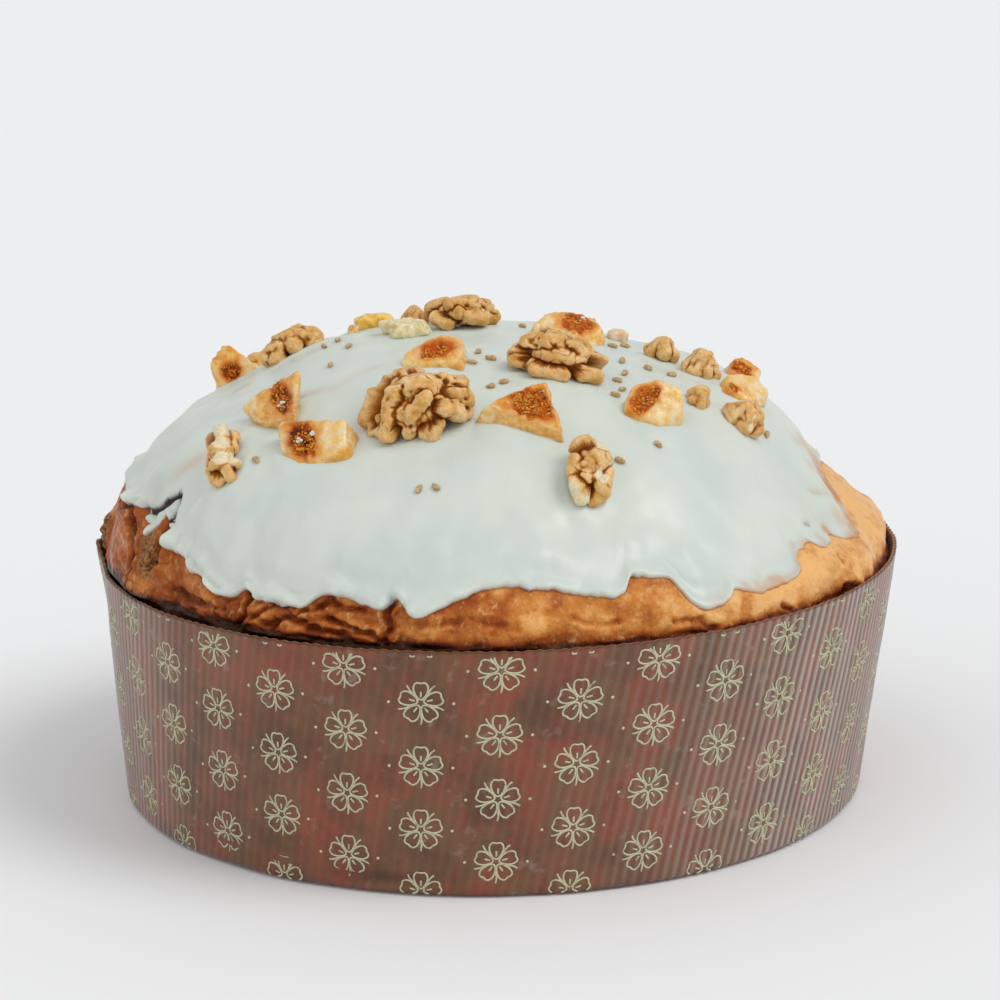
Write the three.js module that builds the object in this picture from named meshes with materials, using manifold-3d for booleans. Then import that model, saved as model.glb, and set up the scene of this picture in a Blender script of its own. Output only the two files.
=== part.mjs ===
// An iced panettone in a low paper baking case, topped with walnuts, figs and candied citron.
// Millimetres, +Z up. The origin is the centre of the case's foot, on the table; the front faces -Y.
import * as THREE from 'three';
import { mergeVertices } from 'three/addons/utils/BufferGeometryUtils.js';
import Module from 'manifold-3d';

const wasm = await Module();
wasm.setup();

const DEGREE = Math.PI / 180;
const SIDES = 96;
const TOUCH = 0.3;

// The paper case: a fluted strip that leans out from a round foot to a wider, slightly oval rim.
const PAPER = {
  footRadius: 105,
  height: 70,
  thickness: 1.4,
  rim: { radiusX: 111.6, radiusY: 112.3, x: 2.6, y: -5.5 },
  rimSlope: 0.01,
  tab: { at: 182, spread: 5, rise: 4.5, flare: 2.0 },
};

// The loaf: how far its dome reaches, from the rim of the case (place 0) to the top (place 1).
const LOAF = { radius: 109, x: 2.6, y: -5, clearance: 0.4, tuck: 9, apex: 129, leftBulge: 1.5 };
const DOME_REACH = [[0, 1], [0.1, 0.985], [0.22, 0.93], [0.38, 0.82], [0.58, 0.62], [0.8, 0.36], [1, 0]];
const DOME_LEFT = [
  [0, 69], [0.1, 79], [0.22, 91.7], [0.38, 104.7], [0.58, 115.4], [0.8, 127.1], [1, LOAF.apex],
];
const DOME_RIGHT = [
  [0, 69], [0.1, 75.4], [0.22, 81.4], [0.38, 92.6], [0.58, 113.4], [0.8, 122.3], [1, LOAF.apex],
];
const SCORE = { depth: 3.2, at: -153, spread: 4, from: 0.16, to: 0.36 };

// The icing: how far it stands off the smooth dome, how deep the crust lies under it, its thick lip,
// its slow swells, and the height of its wavy lower edge by direction round the dome.
const ICING = { proud: 1.3, sunk: 2.2, lip: 1.9, swell: 0.35, rounding: 0.2 };
// The rings that the icing and the crust under it share, from the icing's edge to the top.
const ICING_RINGS = [0.02, 0.07, 0.15, 0.26, 0.4, 0.55, 0.7, 0.85];
const ICING_EDGE = [
  [-176, 90], [-164, 87.6], [-155, 90], [-147, 85], [-140, 82.5], [-134, 78], [-129, 77.2],
  [-126, 79], [-121, 77.2], [-115, 80.8], [-107, 78.6], [-104.5, 81.2], [-101.5, 77], [-96, 81],
  [-91, 84], [-83, 83], [-77, 80], [-71, 83.3], [-66, 82.6], [-61, 73.6], [-55.5, 77.8], [-49, 75.2],
  [-43, 79.5], [-34, 83.2], [-28, 81], [-18, 80], [-13, 89], [-4, 92.5], [12, 90], [22, 83], [31, 88],
  [44, 79], [53, 85], [66, 77.5], [76, 83], [88, 79], [97, 85], [110, 77], [121, 84], [131, 78.5],
  [142, 86], [155, 80], [168, 88],
];

// One piece of topping: its kind, the place it lies at, the way its length points, and its size.
const TOPPINGS = [
  ['fig_front', 'fig', 4.7, -68.9, 8, 22.8, 17.6, 11],
  ['fig_front_left', 'fig', -49, -66.6, 5, 20.5, 15.4, 8.5],
  ['fig_left', 'fig', -57.7, -47.5, 42, 19.6, 16.5, 12],
  ['fig_far_left', 'fig', -71, 14, -20, 14.1, 10.8, 9],
  ['fig_middle', 'fig', -17.5, -37.3, 15, 18.8, 13.6, 7.5],
  ['fig_front_right', 'fig', 39.8, -58, -12, 18, 14.8, 10],
  ['fig_right', 'fig', 68.8, -22, 20, 15.5, 12.5, 7],
  ['fig_far_right', 'fig', 70, -2, 10, 12, 10, 7],
  ['fig_top', 'fig', 17.7, 0.5, -10, 20.9, 14.3, 7.5],
  ['walnut_half', 'walnut', -17.8, -65.8, 12, 31, 24, 14],
  ['walnut_left', 'walnut', -68.2, -60.1, 80, 18.2, 11.1, 9.5],
  ['walnut_far_left', 'walnut', -54, 2, 12, 19.7, 12.8, 8],
  ['walnut_middle', 'walnut', 17.7, -41.3, -12, 28.4, 20.3, 12.4],
  ['walnut_front', 'walnut', 25.3, -82.1, 84, 19, 12.5, 10],
  ['walnut_top', 'walnut', -6.7, -0.3, 10, 22.2, 15.7, 9.5],
  ['walnut_top_left', 'crumb', -20.6, 8.6, -25, 9, 6.4, 6],
  ['walnut_right_rear', 'walnut', 47.6, -9.2, -35, 10.8, 9.2, 7.6],
  ['walnut_right_middle', 'walnut', 58.2, -14.6, 5, 12.4, 10.5, 8],
  ['walnut_right_front', 'walnut', 67, -41.6, -18, 13, 11, 8],
  ['walnut_right_small', 'crumb', 55.6, -42.4, 70, 8.6, 7.4, 6.4],
  ['citron_yellow', 'citron', -31.9, 8.8, 20, 10.4, 8, 5],
  ['citron_pale', 'citron', -22.4, -7.4, 10, 13.1, 9.6, 5.4],
  ['almond_top', 'almond', 36, 9.7, 25, 6.8, 5.4, 4.4],
  ['walnut_crumb_top', 'crumb', 28, 13.5, 40, 7, 5.5, 5],
  ['walnut_crumb_left', 'crumb', -37.4, -1.5, 60, 4.6, 4, 3.4],
  ['fig_back', 'fig', -9, 37, 170, 13, 10, 5],
  ['fig_back_left', 'fig', -42, 74, 130, 17, 14, 8],
  ['fig_back_right', 'fig', 56, 61, 215, 17, 14, 8],
  ['fig_far_back', 'fig', 5, 81, 100, 18, 14, 7],
  ['walnut_back', 'walnut', -16, 88, 60, 22, 17, 11],
  ['walnut_back_right', 'walnut', 32, 79, 100, 20, 14, 9.5],
  ['walnut_back_left', 'walnut', -66, 42, 30, 13, 10, 7],
  ['citron_back', 'citron', 20, 33, 80, 11, 8, 4],
];

// Seeds of anise strewn over the icing: places chosen by eye in front, then a seeded scatter behind.
const SEED = { length: 3.4, width: 1.8, thickness: 2.4, sunk: 0.4, scattered: 9 };
const SEED_PLACES = [
  [-18.1, -88.4], [-13.8, -88.4], [44.2, -66.8], [33.9, -75.1], [75, -35.8], [-2.7, -27.5],
  [0.6, -33], [-4.3, -38.2], [0.6, -52.5], [4.2, -49.4], [10, 14], [34.5, -5], [38.3, 0.5],
  [36.7, -20.6], [43.5, -22.3], [50, -23.4], [34.6, -37.4], [37, -30.3], [35.8, -43], [33.6, -48.2],
  [-45, -10.2], [-42.8, -25.4], [-41.5, -6.2], [-38.2, -13.7], [-61, -64],
];

const COLOURS = {
  paper: '#6b463c', crust: '#b06a35', icing: '#dfe4dc', fig: '#cf8a3c', walnut: '#b98a52',
  crumb: '#b98a52', citron: '#dcc27a', almond: '#e6cfae',
};

// A smooth curve through [place, value] pairs that is level at each peak and dip.
function curveThrough(pairs) {
  const rise = pairs.slice(1).map(([x, y], i) => (y - pairs[i][1]) / (x - pairs[i][0]));
  const slope = pairs.map((_, i) => {
    const before = rise[Math.max(i - 1, 0)];
    const after = rise[Math.min(i, rise.length - 1)];
    return before * after <= 0 ? 0 : (2 * before * after) / (before + after);
  });
  return (x) => {
    let i = 0;
    while (i < pairs.length - 2 && x > pairs[i + 1][0]) i += 1;
    const width = pairs[i + 1][0] - pairs[i][0];
    const s = THREE.MathUtils.clamp((x - pairs[i][0]) / width, 0, 1);
    const start = (1 + 2 * s) * (1 - s) ** 2 * pairs[i][1] + s * (1 - s) ** 2 * width * slope[i];
    const end = s * s * (3 - 2 * s) * pairs[i + 1][1] + s * s * (s - 1) * width * slope[i + 1];
    return start + end;
  };
}

// The place between 0 and 1 at which a steadily rising function reaches a value.
function placeOf(value, rising) {
  let low = 0;
  let high = 1;
  for (let step = 0; step < 30; step += 1) {
    const middle = (low + high) / 2;
    if (rising(middle) < value) low = middle;
    else high = middle;
  }
  return (low + high) / 2;
}

// Random numbers from 0 to 1, the same ones each time for the same seed.
function randomFrom(seed) {
  let state = seed;
  return () => {
    state = (state * 16807) % 2147483647;
    return state / 2147483647;
  };
}

const reach = curveThrough(DOME_REACH);
const leftHeight = curveThrough(DOME_LEFT);
const rightHeight = curveThrough(DOME_RIGHT);
const edgeHeight = curveThrough([
  [ICING_EDGE.at(-1)[0] - 360, ICING_EDGE.at(-1)[1]],
  ...ICING_EDGE,
  [ICING_EDGE[0][0] + 360, ICING_EDGE[0][1]],
]);

// A point of the smooth dome, by direction (radians) and by place from the rim to the top.
function domePoint(angle, place) {
  const right = THREE.MathUtils.smoothstep(0.5 + 0.5 * Math.cos(angle), 0, 1);
  const height = leftHeight(place) * (1 - right) + rightHeight(place) * right;
  const out = LOAF.radius * reach(place);
  return new THREE.Vector3(LOAF.x + out * Math.cos(angle), LOAF.y + out * Math.sin(angle), height);
}

// The dome's outward direction at a point, from two short steps along it.
function domeNormal(angle, place) {
  const step = 0.002;
  const inner = Math.min(place, 1 - 2 * step);
  const around = domePoint(angle + step, inner).sub(domePoint(angle - step, inner));
  const up = domePoint(angle, inner + step).sub(domePoint(angle, Math.max(inner - step, 0)));
  return around.cross(up).normalize();
}

// The place of the icing's lower edge in a direction.
function edgePlace(angle) {
  let degrees = angle / DEGREE;
  while (degrees > 180) degrees -= 360;
  return placeOf(edgeHeight(degrees), (place) => domePoint(angle, place).z);
}

// How far the crust's skin stands off the smooth dome: rolls and puckers near the rim, a scored
// gash at the left, and sunk by the icing's thickness where icing lies on it.
function crustOffset(angle, place, edge) {
  const bare = 1 - THREE.MathUtils.smoothstep(place, edge - 0.02, edge + 0.05);
  const puckers = 0.7 * Math.sin(11 * angle + 9 * place) + 0.5 * Math.sin(23 * angle - 14 * place);
  const bulge = LOAF.leftBulge * THREE.MathUtils.smoothstep(-Math.cos(angle), 0.6, 1);
  const along = THREE.MathUtils.smoothstep(place, SCORE.from, SCORE.from + 0.05)
    * (1 - THREE.MathUtils.smoothstep(place, SCORE.to, SCORE.to + 0.06));
  const turn = Math.atan2(Math.sin(angle - SCORE.at * DEGREE), Math.cos(angle - SCORE.at * DEGREE));
  const gash = SCORE.depth * along * Math.exp(-((turn / DEGREE / SCORE.spread) ** 2));
  return bare * (puckers + bulge - gash) - (1 - bare) * ICING.sunk;
}

// How far the icing's outer skin stands off the smooth dome, with its slow swells and round edge.
function icingOffset(angle, place, edge) {
  const swell = ICING.swell * (Math.sin(3 * angle + 7 * place) + Math.sin(7 * angle - 11 * place));
  const full = THREE.MathUtils.smoothstep(place, edge, edge + 0.05);
  const waves = full * swell * THREE.MathUtils.smoothstep(1 - place, 0, 0.3);
  return ICING.proud + waves - (1 - full) * ICING.rounding;
}

// A point that stands off the smooth dome by a distance along its outward direction.
function offDome(angle, place, offset) {
  return domePoint(angle, place).addScaledVector(domeNormal(angle, place), offset);
}

// A closed skin of rings from one pole to the other, each ring a function of direction. The first
// few bands can have their corners joined the other way, to lie flat against a skin that runs back.
function ringSolid(firstPole, rings, lastPole, sides, turnedBands = 0) {
  const points = [firstPole];
  rings.forEach((ring) => {
    for (let i = 0; i < sides; i += 1) points.push(ring((2 * Math.PI * i) / sides));
  });
  points.push(lastPole);
  const index = [];
  const at = (ring, i) => 1 + ring * sides + (i % sides);
  for (let i = 0; i < sides; i += 1) {
    index.push(0, at(0, i + 1), at(0, i));
    for (let ring = 0; ring < rings.length - 1; ring += 1) {
      const [near, nearNext] = [at(ring, i), at(ring, i + 1)];
      const [far, farNext] = [at(ring + 1, i), at(ring + 1, i + 1)];
      if (ring < turnedBands) index.push(near, nearNext, far, nearNext, farNext, far);
      else index.push(near, nearNext, farNext, near, farNext, far);
    }
    index.push(points.length - 1, at(rings.length - 1, i), at(rings.length - 1, i + 1));
  }
  const geometry = new THREE.BufferGeometry();
  geometry.setAttribute('position', new THREE.Float32BufferAttribute(points.flatMap((p) => p.toArray()), 3));
  geometry.setIndex(index);
  return geometry;
}

// A point of the case's wall, by direction, by share of the height, and by depth into the paper.
function wallPoint(angle, share, inset) {
  const { footRadius, height, rim, rimSlope, tab } = PAPER;
  const turn = Math.atan2(Math.sin(angle - tab.at * DEGREE), Math.cos(angle - tab.at * DEGREE));
  const torn = Math.exp(-((turn / DEGREE / tab.spread) ** 2)) * THREE.MathUtils.smoothstep(share, 0.8, 1);
  const radiusX = footRadius + (rim.radiusX - footRadius) * share + torn * tab.flare - inset;
  const radiusY = footRadius + (rim.radiusY - footRadius) * share - inset;
  const x = rim.x * share + radiusX * Math.cos(angle);
  const y = rim.y * share + radiusY * Math.sin(angle);
  return new THREE.Vector3(x, y, share * (height + rimSlope * x) + torn * tab.rise);
}

// The paper case: its floor, its leaning wall and the open rim.
function paperCase() {
  const { thickness } = PAPER;
  const raised = (angle, share) => wallPoint(angle, share, thickness).setZ(
    Math.max(wallPoint(angle, share, thickness).z, thickness));
  const rings = [
    (angle) => wallPoint(angle, 0, 1).setZ(0),
    (angle) => wallPoint(angle, 0.02, 0),
    (angle) => wallPoint(angle, 0.8, 0),
    (angle) => wallPoint(angle, 0.9, 0),
    (angle) => wallPoint(angle, 1, 0),
    (angle) => wallPoint(angle, 1, thickness),
    (angle) => wallPoint(angle, 0.9, thickness),
    (angle) => wallPoint(angle, 0.8, thickness),
    (angle) => raised(angle, 0),
  ];
  return ringSolid(new THREE.Vector3(0, 0, 0), rings, new THREE.Vector3(0, 0, thickness), SIDES);
}

// The loaf: it fills the case, tucks in under the rim and rises to the dome.
function loaf() {
  const inset = PAPER.thickness + LOAF.clearance;
  const base = PAPER.thickness + TOUCH;
  const tuckShare = 1 - LOAF.tuck / PAPER.height;
  const edges = Array.from({ length: SIDES }, (_, i) => edgePlace((2 * Math.PI * i) / SIDES));
  const edgeAt = (angle) => edges[Math.round(angle / (2 * Math.PI) * SIDES) % SIDES];
  const crust = (angle, place) => offDome(angle, place, crustOffset(angle, place, edgeAt(angle)));
  const rings = [
    (angle) => wallPoint(angle, 0, inset + 3).setZ(base),
    (angle) => wallPoint(angle, 0.06, inset),
    (angle) => wallPoint(angle, tuckShare, inset),
    (angle) => domePoint(angle, 0),
  ];
  [0.3, 0.62, 0.9].forEach((share) => rings.push((angle) => crust(angle, share * edgeAt(angle))));
  const placeAt = (angle, share) => edgeAt(angle) + share * (1 - edgeAt(angle));
  ICING_RINGS.forEach((share) => rings.push((angle) => crust(angle, placeAt(angle, share))));
  const top = domePoint(0, 1);
  top.z -= ICING.sunk;
  return ringSolid(new THREE.Vector3(0, 0, base), rings, top, SIDES);
}

// The icing: a skin over the dome with a round, wavy, dripping edge.
function icingSkin() {
  const edges = Array.from({ length: SIDES }, (_, i) => edgePlace((2 * Math.PI * i) / SIDES));
  const edgeAt = (angle) => edges[Math.round(angle / (2 * Math.PI) * SIDES) % SIDES];
  const placeAt = (angle, share) => edgeAt(angle) + share * (1 - edgeAt(angle));
  const outer = (angle, share) => {
    const place = placeAt(angle, share);
    const lip = share === ICING_RINGS[0] ? ICING.lip - ICING.proud : 0;
    return offDome(angle, place, icingOffset(angle, place, edgeAt(angle)) + lip);
  };
  const inner = (angle, share) => {
    const place = placeAt(angle, share);
    return offDome(angle, place, crustOffset(angle, place, edgeAt(angle)) + TOUCH);
  };
  const top = domePoint(0, 1);
  const rings = [...ICING_RINGS].reverse().map((share) => (angle) => inner(angle, share));
  ICING_RINGS.forEach((share) => rings.push((angle) => outer(angle, share)));
  const under = top.clone().setZ(top.z - ICING.sunk + TOUCH);
  const over = top.clone().setZ(top.z + ICING.proud);
  return ringSolid(under, rings, over, SIDES, ICING_RINGS.length - 1);
}

// The height of the icing's outer skin over a place on the table.
function icingTop(x, y) {
  const out = Math.hypot(x - LOAF.x, y - LOAF.y) / LOAF.radius;
  const angle = Math.atan2(y - LOAF.y, x - LOAF.x);
  const place = placeOf(-Math.min(out, 1), (p) => -reach(p));
  const proud = icingOffset(angle, place, 0);
  return domePoint(angle, place).z + proud / domeNormal(angle, place).z;
}

// The icing's outward direction over a place on the table.
function icingNormal(x, y) {
  const step = 4;
  const slopeX = (icingTop(x + step, y) - icingTop(x - step, y)) / (2 * step);
  const slopeY = (icingTop(x, y + step) - icingTop(x, y - step)) / (2 * step);
  return new THREE.Vector3(-slopeX, -slopeY, 1).normalize();
}

// The outlines and skins of the toppings: how far a piece reaches by direction, and its relief.
const KINDS = {
  walnut: {
    sides: 13,
    rings: 8,
    outline: (angle) => 1 + 0.08 * Math.sin(5 * angle) + 0.06 * Math.cos(3 * angle + 1),
    relief: (angle, rise) => 0.11 * Math.sin(6 * angle + 5 * rise) * Math.sin(4 * rise)
      - 0.2 * Math.exp(-((Math.sin(angle) / 0.22) ** 2)) * Math.max(Math.sin(rise - 0.6), 0),
    flat: 0.75,
  },
  fig: {
    sides: 12,
    rings: 7,
    outline: (angle) => {
      const third = (2 * Math.PI) / 3;
      const turn = ((angle % third) + third) % third;
      return 0.45 + 0.62 * (Math.cos(third / 2) / Math.cos(turn - third / 2)) + 0.18 * Math.cos(angle);
    },
    relief: (angle, rise) => 0.05 * Math.sin(7 * angle + 6 * rise),
    flat: 0.5,
  },
  crumb: {
    sides: 8,
    rings: 6,
    outline: (angle) => 1 + 0.1 * Math.sin(3 * angle),
    relief: (angle, rise) => 0.08 * Math.sin(4 * angle + 3 * rise),
    flat: 0.7,
  },
  citron: {
    sides: 10,
    rings: 6,
    outline: (angle) => 0.9 + 0.12 * Math.cos(4 * angle + 0.5),
    relief: () => 0,
    flat: 0.5,
  },
  almond: {
    sides: 9,
    rings: 6,
    outline: (angle) => 1 + 0.12 * Math.cos(angle),
    relief: () => 0,
    flat: 0.9,
  },
};

// A lump of topping of one kind, rounded below and shaped above, that lies on the icing.
function toppingSolid(kind, x, y, turn, length, width, height, seed) {
  const { sides, rings, outline, relief, flat } = KINDS[kind];
  const normal = icingNormal(x, y);
  const along = new THREE.Vector3(Math.cos(turn * DEGREE), Math.sin(turn * DEGREE), 0);
  along.addScaledVector(normal, -along.dot(normal)).normalize();
  const across = normal.clone().cross(along);
  const base = new THREE.Vector3(x, y, icingTop(x, y) + TOUCH);
  const random = randomFrom(seed);
  const phase = 2 * Math.PI * random();
  const place = (angle, rise) => {
    const round = Math.sin(rise) ** flat * outline(angle) * (1 + relief(angle + phase, rise));
    const lift = 0.5 - 0.5 * Math.sign(Math.cos(rise)) * Math.abs(Math.cos(rise)) ** 0.8;
    const point = base.clone()
      .addScaledVector(along, 0.5 * length * round * Math.cos(angle))
      .addScaledVector(across, 0.5 * width * round * Math.sin(angle))
      .addScaledVector(normal, height * lift * (1 + relief(angle + phase, rise)));
    point.z = Math.max(point.z, icingTop(point.x, point.y) + TOUCH);
    return point;
  };
  const skin = [];
  for (let ring = 1; ring < rings; ring += 1) skin.push((angle) => place(angle, (Math.PI * ring) / rings));
  return ringSolid(base, skin, base.clone().addScaledVector(normal, height), sides);
}

// Three.js geometry to a solid that can be joined, and back again.
function toSolid(geometry) {
  const bare = geometry.clone();
  bare.deleteAttribute('normal');
  bare.deleteAttribute('uv');
  const merged = mergeVertices(bare, 1e-5);
  return new wasm.Manifold(new wasm.Mesh({
    numProp: 3,
    vertProperties: new Float32Array(merged.attributes.position.array),
    triVerts: new Uint32Array(merged.index.array),
  }));
}

function toGeometry(solid) {
  const mesh = solid.getMesh();
  const geometry = new THREE.BufferGeometry();
  geometry.setAttribute('position', new THREE.Float32BufferAttribute(mesh.vertProperties, 3));
  geometry.setIndex(Array.from(mesh.triVerts));
  return geometry;
}

// One seed of anise, lying half sunk in the icing.
function seedSolid(x, y, turn) {
  const seed = new THREE.SphereGeometry(1, 5, 3);
  seed.scale(SEED.length / 2, SEED.width / 2, SEED.thickness / 2);
  const normal = icingNormal(x, y);
  const tilt = new THREE.Quaternion().setFromUnitVectors(new THREE.Vector3(0, 0, 1), normal);
  seed.rotateZ(turn);
  seed.applyQuaternion(tilt);
  const middle = new THREE.Vector3(x, y, icingTop(x, y)).addScaledVector(normal, -SEED.sunk);
  seed.translate(middle.x, middle.y, middle.z);
  return toSolid(seed);
}

// The icing with its seeds, each clear of the toppings.
function icingWithSeeds() {
  const random = randomFrom(29);
  const places = [...SEED_PLACES];
  const clear = (x, y) => TOPPINGS.every(([, , toppingX, toppingY, , length]) => (
    Math.hypot(x - toppingX, y - toppingY) > length / 2 + SEED.length));
  for (let count = 0; count < SEED.scattered;) {
    const angle = Math.PI * random();
    const out = 18 + 62 * random();
    const x = LOAF.x + out * Math.cos(angle);
    const y = LOAF.y + 14 + out * Math.sin(angle);
    if (clear(x, y)) {
      places.push([x, y]);
      count += 1;
    }
  }
  let solid = toSolid(icingSkin());
  places.forEach(([x, y]) => {
    solid = solid.add(seedSolid(x, y, Math.PI * random()));
  });
  return toGeometry(solid);
}

const part = new THREE.Group();

// Adds one sub-part to the model under its own name, with its colour, roughness and metalness.
function add(name, geometry, colour, roughness) {
  const material = new THREE.MeshStandardMaterial({ color: colour, roughness, metalness: 0 });
  const mesh = new THREE.Mesh(geometry, material);
  mesh.name = name;
  part.add(mesh);
}

add('paper_case', paperCase(), COLOURS.paper, 0.7);
add('loaf', loaf(), COLOURS.crust, 0.45);
add('icing', icingWithSeeds(), COLOURS.icing, 0.35);
TOPPINGS.forEach(([name, kind, x, y, turn, length, width, height], i) => {
  add(name, toppingSolid(kind, x, y, turn, length, width, height, 101 + 17 * i), COLOURS[kind], 0.5);
});

export default part;
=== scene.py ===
"""An iced panettone in a fluted paper case, topped with walnuts, figs, candied citron and anise seeds.

Each part is a surface worked out in millimetres, with +Z up and the front facing -Y, and is written
to its mesh in metres. The smooth dome of the loaf is what the crust, the icing and the toppings lie
on: a place on it is a direction round the loaf and a share of the way from the rim to the top.
"""
import itertools
import logging
import math
from dataclasses import dataclass, field
from enum import Enum
from typing import Any, Callable

import bpy
import numpy as np
from mathutils import Matrix


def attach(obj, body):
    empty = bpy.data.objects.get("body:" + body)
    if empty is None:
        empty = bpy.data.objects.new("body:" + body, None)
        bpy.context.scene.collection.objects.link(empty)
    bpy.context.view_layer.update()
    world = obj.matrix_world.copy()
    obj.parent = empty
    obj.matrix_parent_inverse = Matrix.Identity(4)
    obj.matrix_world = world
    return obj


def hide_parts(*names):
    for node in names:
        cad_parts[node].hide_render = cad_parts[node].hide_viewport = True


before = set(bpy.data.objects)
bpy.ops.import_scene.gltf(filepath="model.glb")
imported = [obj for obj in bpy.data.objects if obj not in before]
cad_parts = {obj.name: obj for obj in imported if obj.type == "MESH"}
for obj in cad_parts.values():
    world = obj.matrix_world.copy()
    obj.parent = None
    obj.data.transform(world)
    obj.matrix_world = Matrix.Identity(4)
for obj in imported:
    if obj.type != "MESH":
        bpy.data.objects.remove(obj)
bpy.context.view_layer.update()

MM = 0.001
DEGREE = math.pi / 180
TURN = 2 * math.pi
PRESSED = 0.5  # how deep a topping is pressed into the icing, in mm

Array = np.ndarray
Node = bpy.types.Node
Tree = bpy.types.NodeTree
Material = bpy.types.Material
Socket = bpy.types.NodeSocket

log = logging.getLogger("panettone")


def smoothstep(value: Array, low: float, high: float) -> Array:
    """A smooth rise from 0 at low to 1 at high: 3t^2 - 2t^3, with t the clipped share."""
    share = np.clip((value - low) / (high - low), 0.0, 1.0)
    return share * share * (3.0 - 2.0 * share)


def degrees_between(angle: Array, degrees: float) -> Array:
    """The turn from a direction in degrees to each angle in radians, from -180 to 180 degrees."""
    return (angle / DEGREE - degrees + 180.0) % 360.0 - 180.0


def bell(angle: Array, degrees: float, spread: float, power: int = 2) -> Array:
    """A bell over the directions: 1 in one of them, fading over a spread in degrees each way."""
    return np.exp(-((degrees_between(angle, degrees) / spread) ** power))


def circle(angle: Array, radius: float) -> Array:
    """The points of a level circle round the middle of the foot."""
    return np.stack([np.cos(angle), np.sin(angle), 0 * angle], -1) * radius


def unit(vectors: Array) -> Array:
    """Each vector divided by its length."""
    return vectors / np.maximum(np.linalg.norm(vectors, axis=-1, keepdims=True), 1e-12)


def linear(colour: str) -> tuple[float, float, float, float]:
    """The scene's linear colour of an sRGB hex value.

    Args:
        colour: Six hex digits after a hash sign.

    Returns:
        Red, green, blue and a full alpha: (c + 0.055) / 1.055 to the power 2.4, or c / 12.92 below
        0.04045.
    """
    parts = [int(colour[i:i + 2], 16) / 255 for i in (1, 3, 5)]
    return (*[c / 12.92 if c <= 0.04045 else ((c + 0.055) / 1.055) ** 2.4 for c in parts], 1.0)


@dataclass(frozen=True)
class SmoothCurve:
    """A cubic curve through (place, value) pairs that is level at each peak and dip.

    The slope at a pair is the harmonic mean of the rises beside it, or 0 where they differ in sign.
    """

    pairs: tuple[tuple[float, float], ...]

    def __call__(self, value: Array) -> Array:
        """The curve's height at each value, held level past its ends."""
        knots, heights = np.array(self.pairs, float).T
        widths = np.diff(knots)
        rises = np.diff(heights) / widths
        before = np.concatenate([rises[:1], rises])
        after = np.concatenate([rises, rises[-1:]])
        same = before * after > 0
        slopes = np.where(same, 2 * before * after / np.where(same, before + after, 1.0), 0.0)
        i = np.clip(np.searchsorted(knots, value) - 1, 0, len(widths) - 1)
        width = widths[i]
        t = np.clip((value - knots[i]) / width, 0.0, 1.0)
        start = (1 + 2 * t) * (1 - t) ** 2 * heights[i] + t * (1 - t) ** 2 * width * slopes[i]
        end = t * t * (3 - 2 * t) * heights[i + 1] + t * t * (t - 1) * width * slopes[i + 1]
        return start + end


@dataclass(frozen=True)
class Noise:
    """Smooth seeded noise through space, from about -1 to 1.

    Each corner of a cubic lattice has a random direction. A point's value is the dot product of
    each corner's direction with the way to the point, blended over the eight corners.
    """

    seed: int

    def __call__(self, points: Array, cell: float | tuple[float, float, float]) -> Array:
        """The value at each point, with one bump or dip to a cell of this size."""
        random = np.random.default_rng(self.seed)
        order = random.permutation(256)
        directions = unit(random.normal(size=(256, 3)))
        spots = np.asarray(points) / np.asarray(cell)
        corner = np.floor(spots).astype(np.int64)
        part = spots - corner
        blend = part**3 * (part * (part * 6 - 15) + 10)
        total = np.zeros(part.shape[:-1])
        for step in itertools.product((0, 1), repeat=3):
            at = corner + step
            hashed = order[at[..., 0] & 255]
            hashed = order[(hashed + at[..., 1]) & 255]
            hashed = order[(hashed + at[..., 2]) & 255]
            weight = np.prod(np.where(np.array(step) == 1, blend, 1 - blend), axis=-1)
            total += weight * ((part - step) * directions[hashed]).sum(-1)
        return total * 1.6


def drift(points: Array, cell: float, first: int) -> Array:
    """A push for each point, by three noises that have the first seed and the two after it."""
    return np.stack([Noise(seed)(points, cell) for seed in range(first, first + 3)], -1)


@dataclass
class Surface:
    """Points in mm with their faces, their values by name, and the number of their finish."""

    points: Array
    quads: Array
    triangles: Array
    values: dict[str, Array] = field(default_factory=dict)
    finish: int = 0

    def faced_out(self) -> "Surface":
        """This closed surface with its faces pointing outwards, by the sign of its volume."""
        triangles = np.concatenate([self.triangles, self.quads[:, [0, 1, 2]], self.quads[:, [0, 2, 3]]])
        a, b, c = (self.points[triangles[:, i]] for i in range(3))
        if np.einsum("ij,ij->i", a, np.cross(b, c)).sum() < 0:
            self.quads = self.quads[:, ::-1]
            self.triangles = self.triangles[:, ::-1]
        return self


def closed_rings(rings: Array, values: dict[str, Array] | None = None) -> Surface:
    """A closed surface through rings of points, with a pole at the middle of each end ring.

    Args:
        rings: Points by ring and by place round it.
        values: One number or vector for each of those points, by name.

    Returns:
        The surface, with its faces pointing outwards.
    """
    count, sides = rings.shape[:2]

    def with_poles(grid: Array) -> Array:
        flat = grid.reshape(count * sides, *grid.shape[2:])
        return np.concatenate([grid[:1].mean(1), flat, grid[-1:].mean(1)])

    here = np.arange(sides)
    after = np.roll(here, -1)
    start = 1 + sides * np.arange(count - 1)[:, None]
    quads = np.stack([start + here, start + after, start + sides + after, start + sides + here], -1)
    first = np.stack([np.zeros(sides, int), 1 + after, 1 + here], -1)
    last = 1 + sides * (count - 1)
    final = np.stack([np.full(sides, count * sides + 1), last + here, last + after], -1)
    given = {name: with_poles(grid) for name, grid in (values or {}).items()}
    surface = Surface(with_poles(rings), quads.reshape(-1, 4), np.concatenate([first, final]), given)
    return surface.faced_out()


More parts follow.
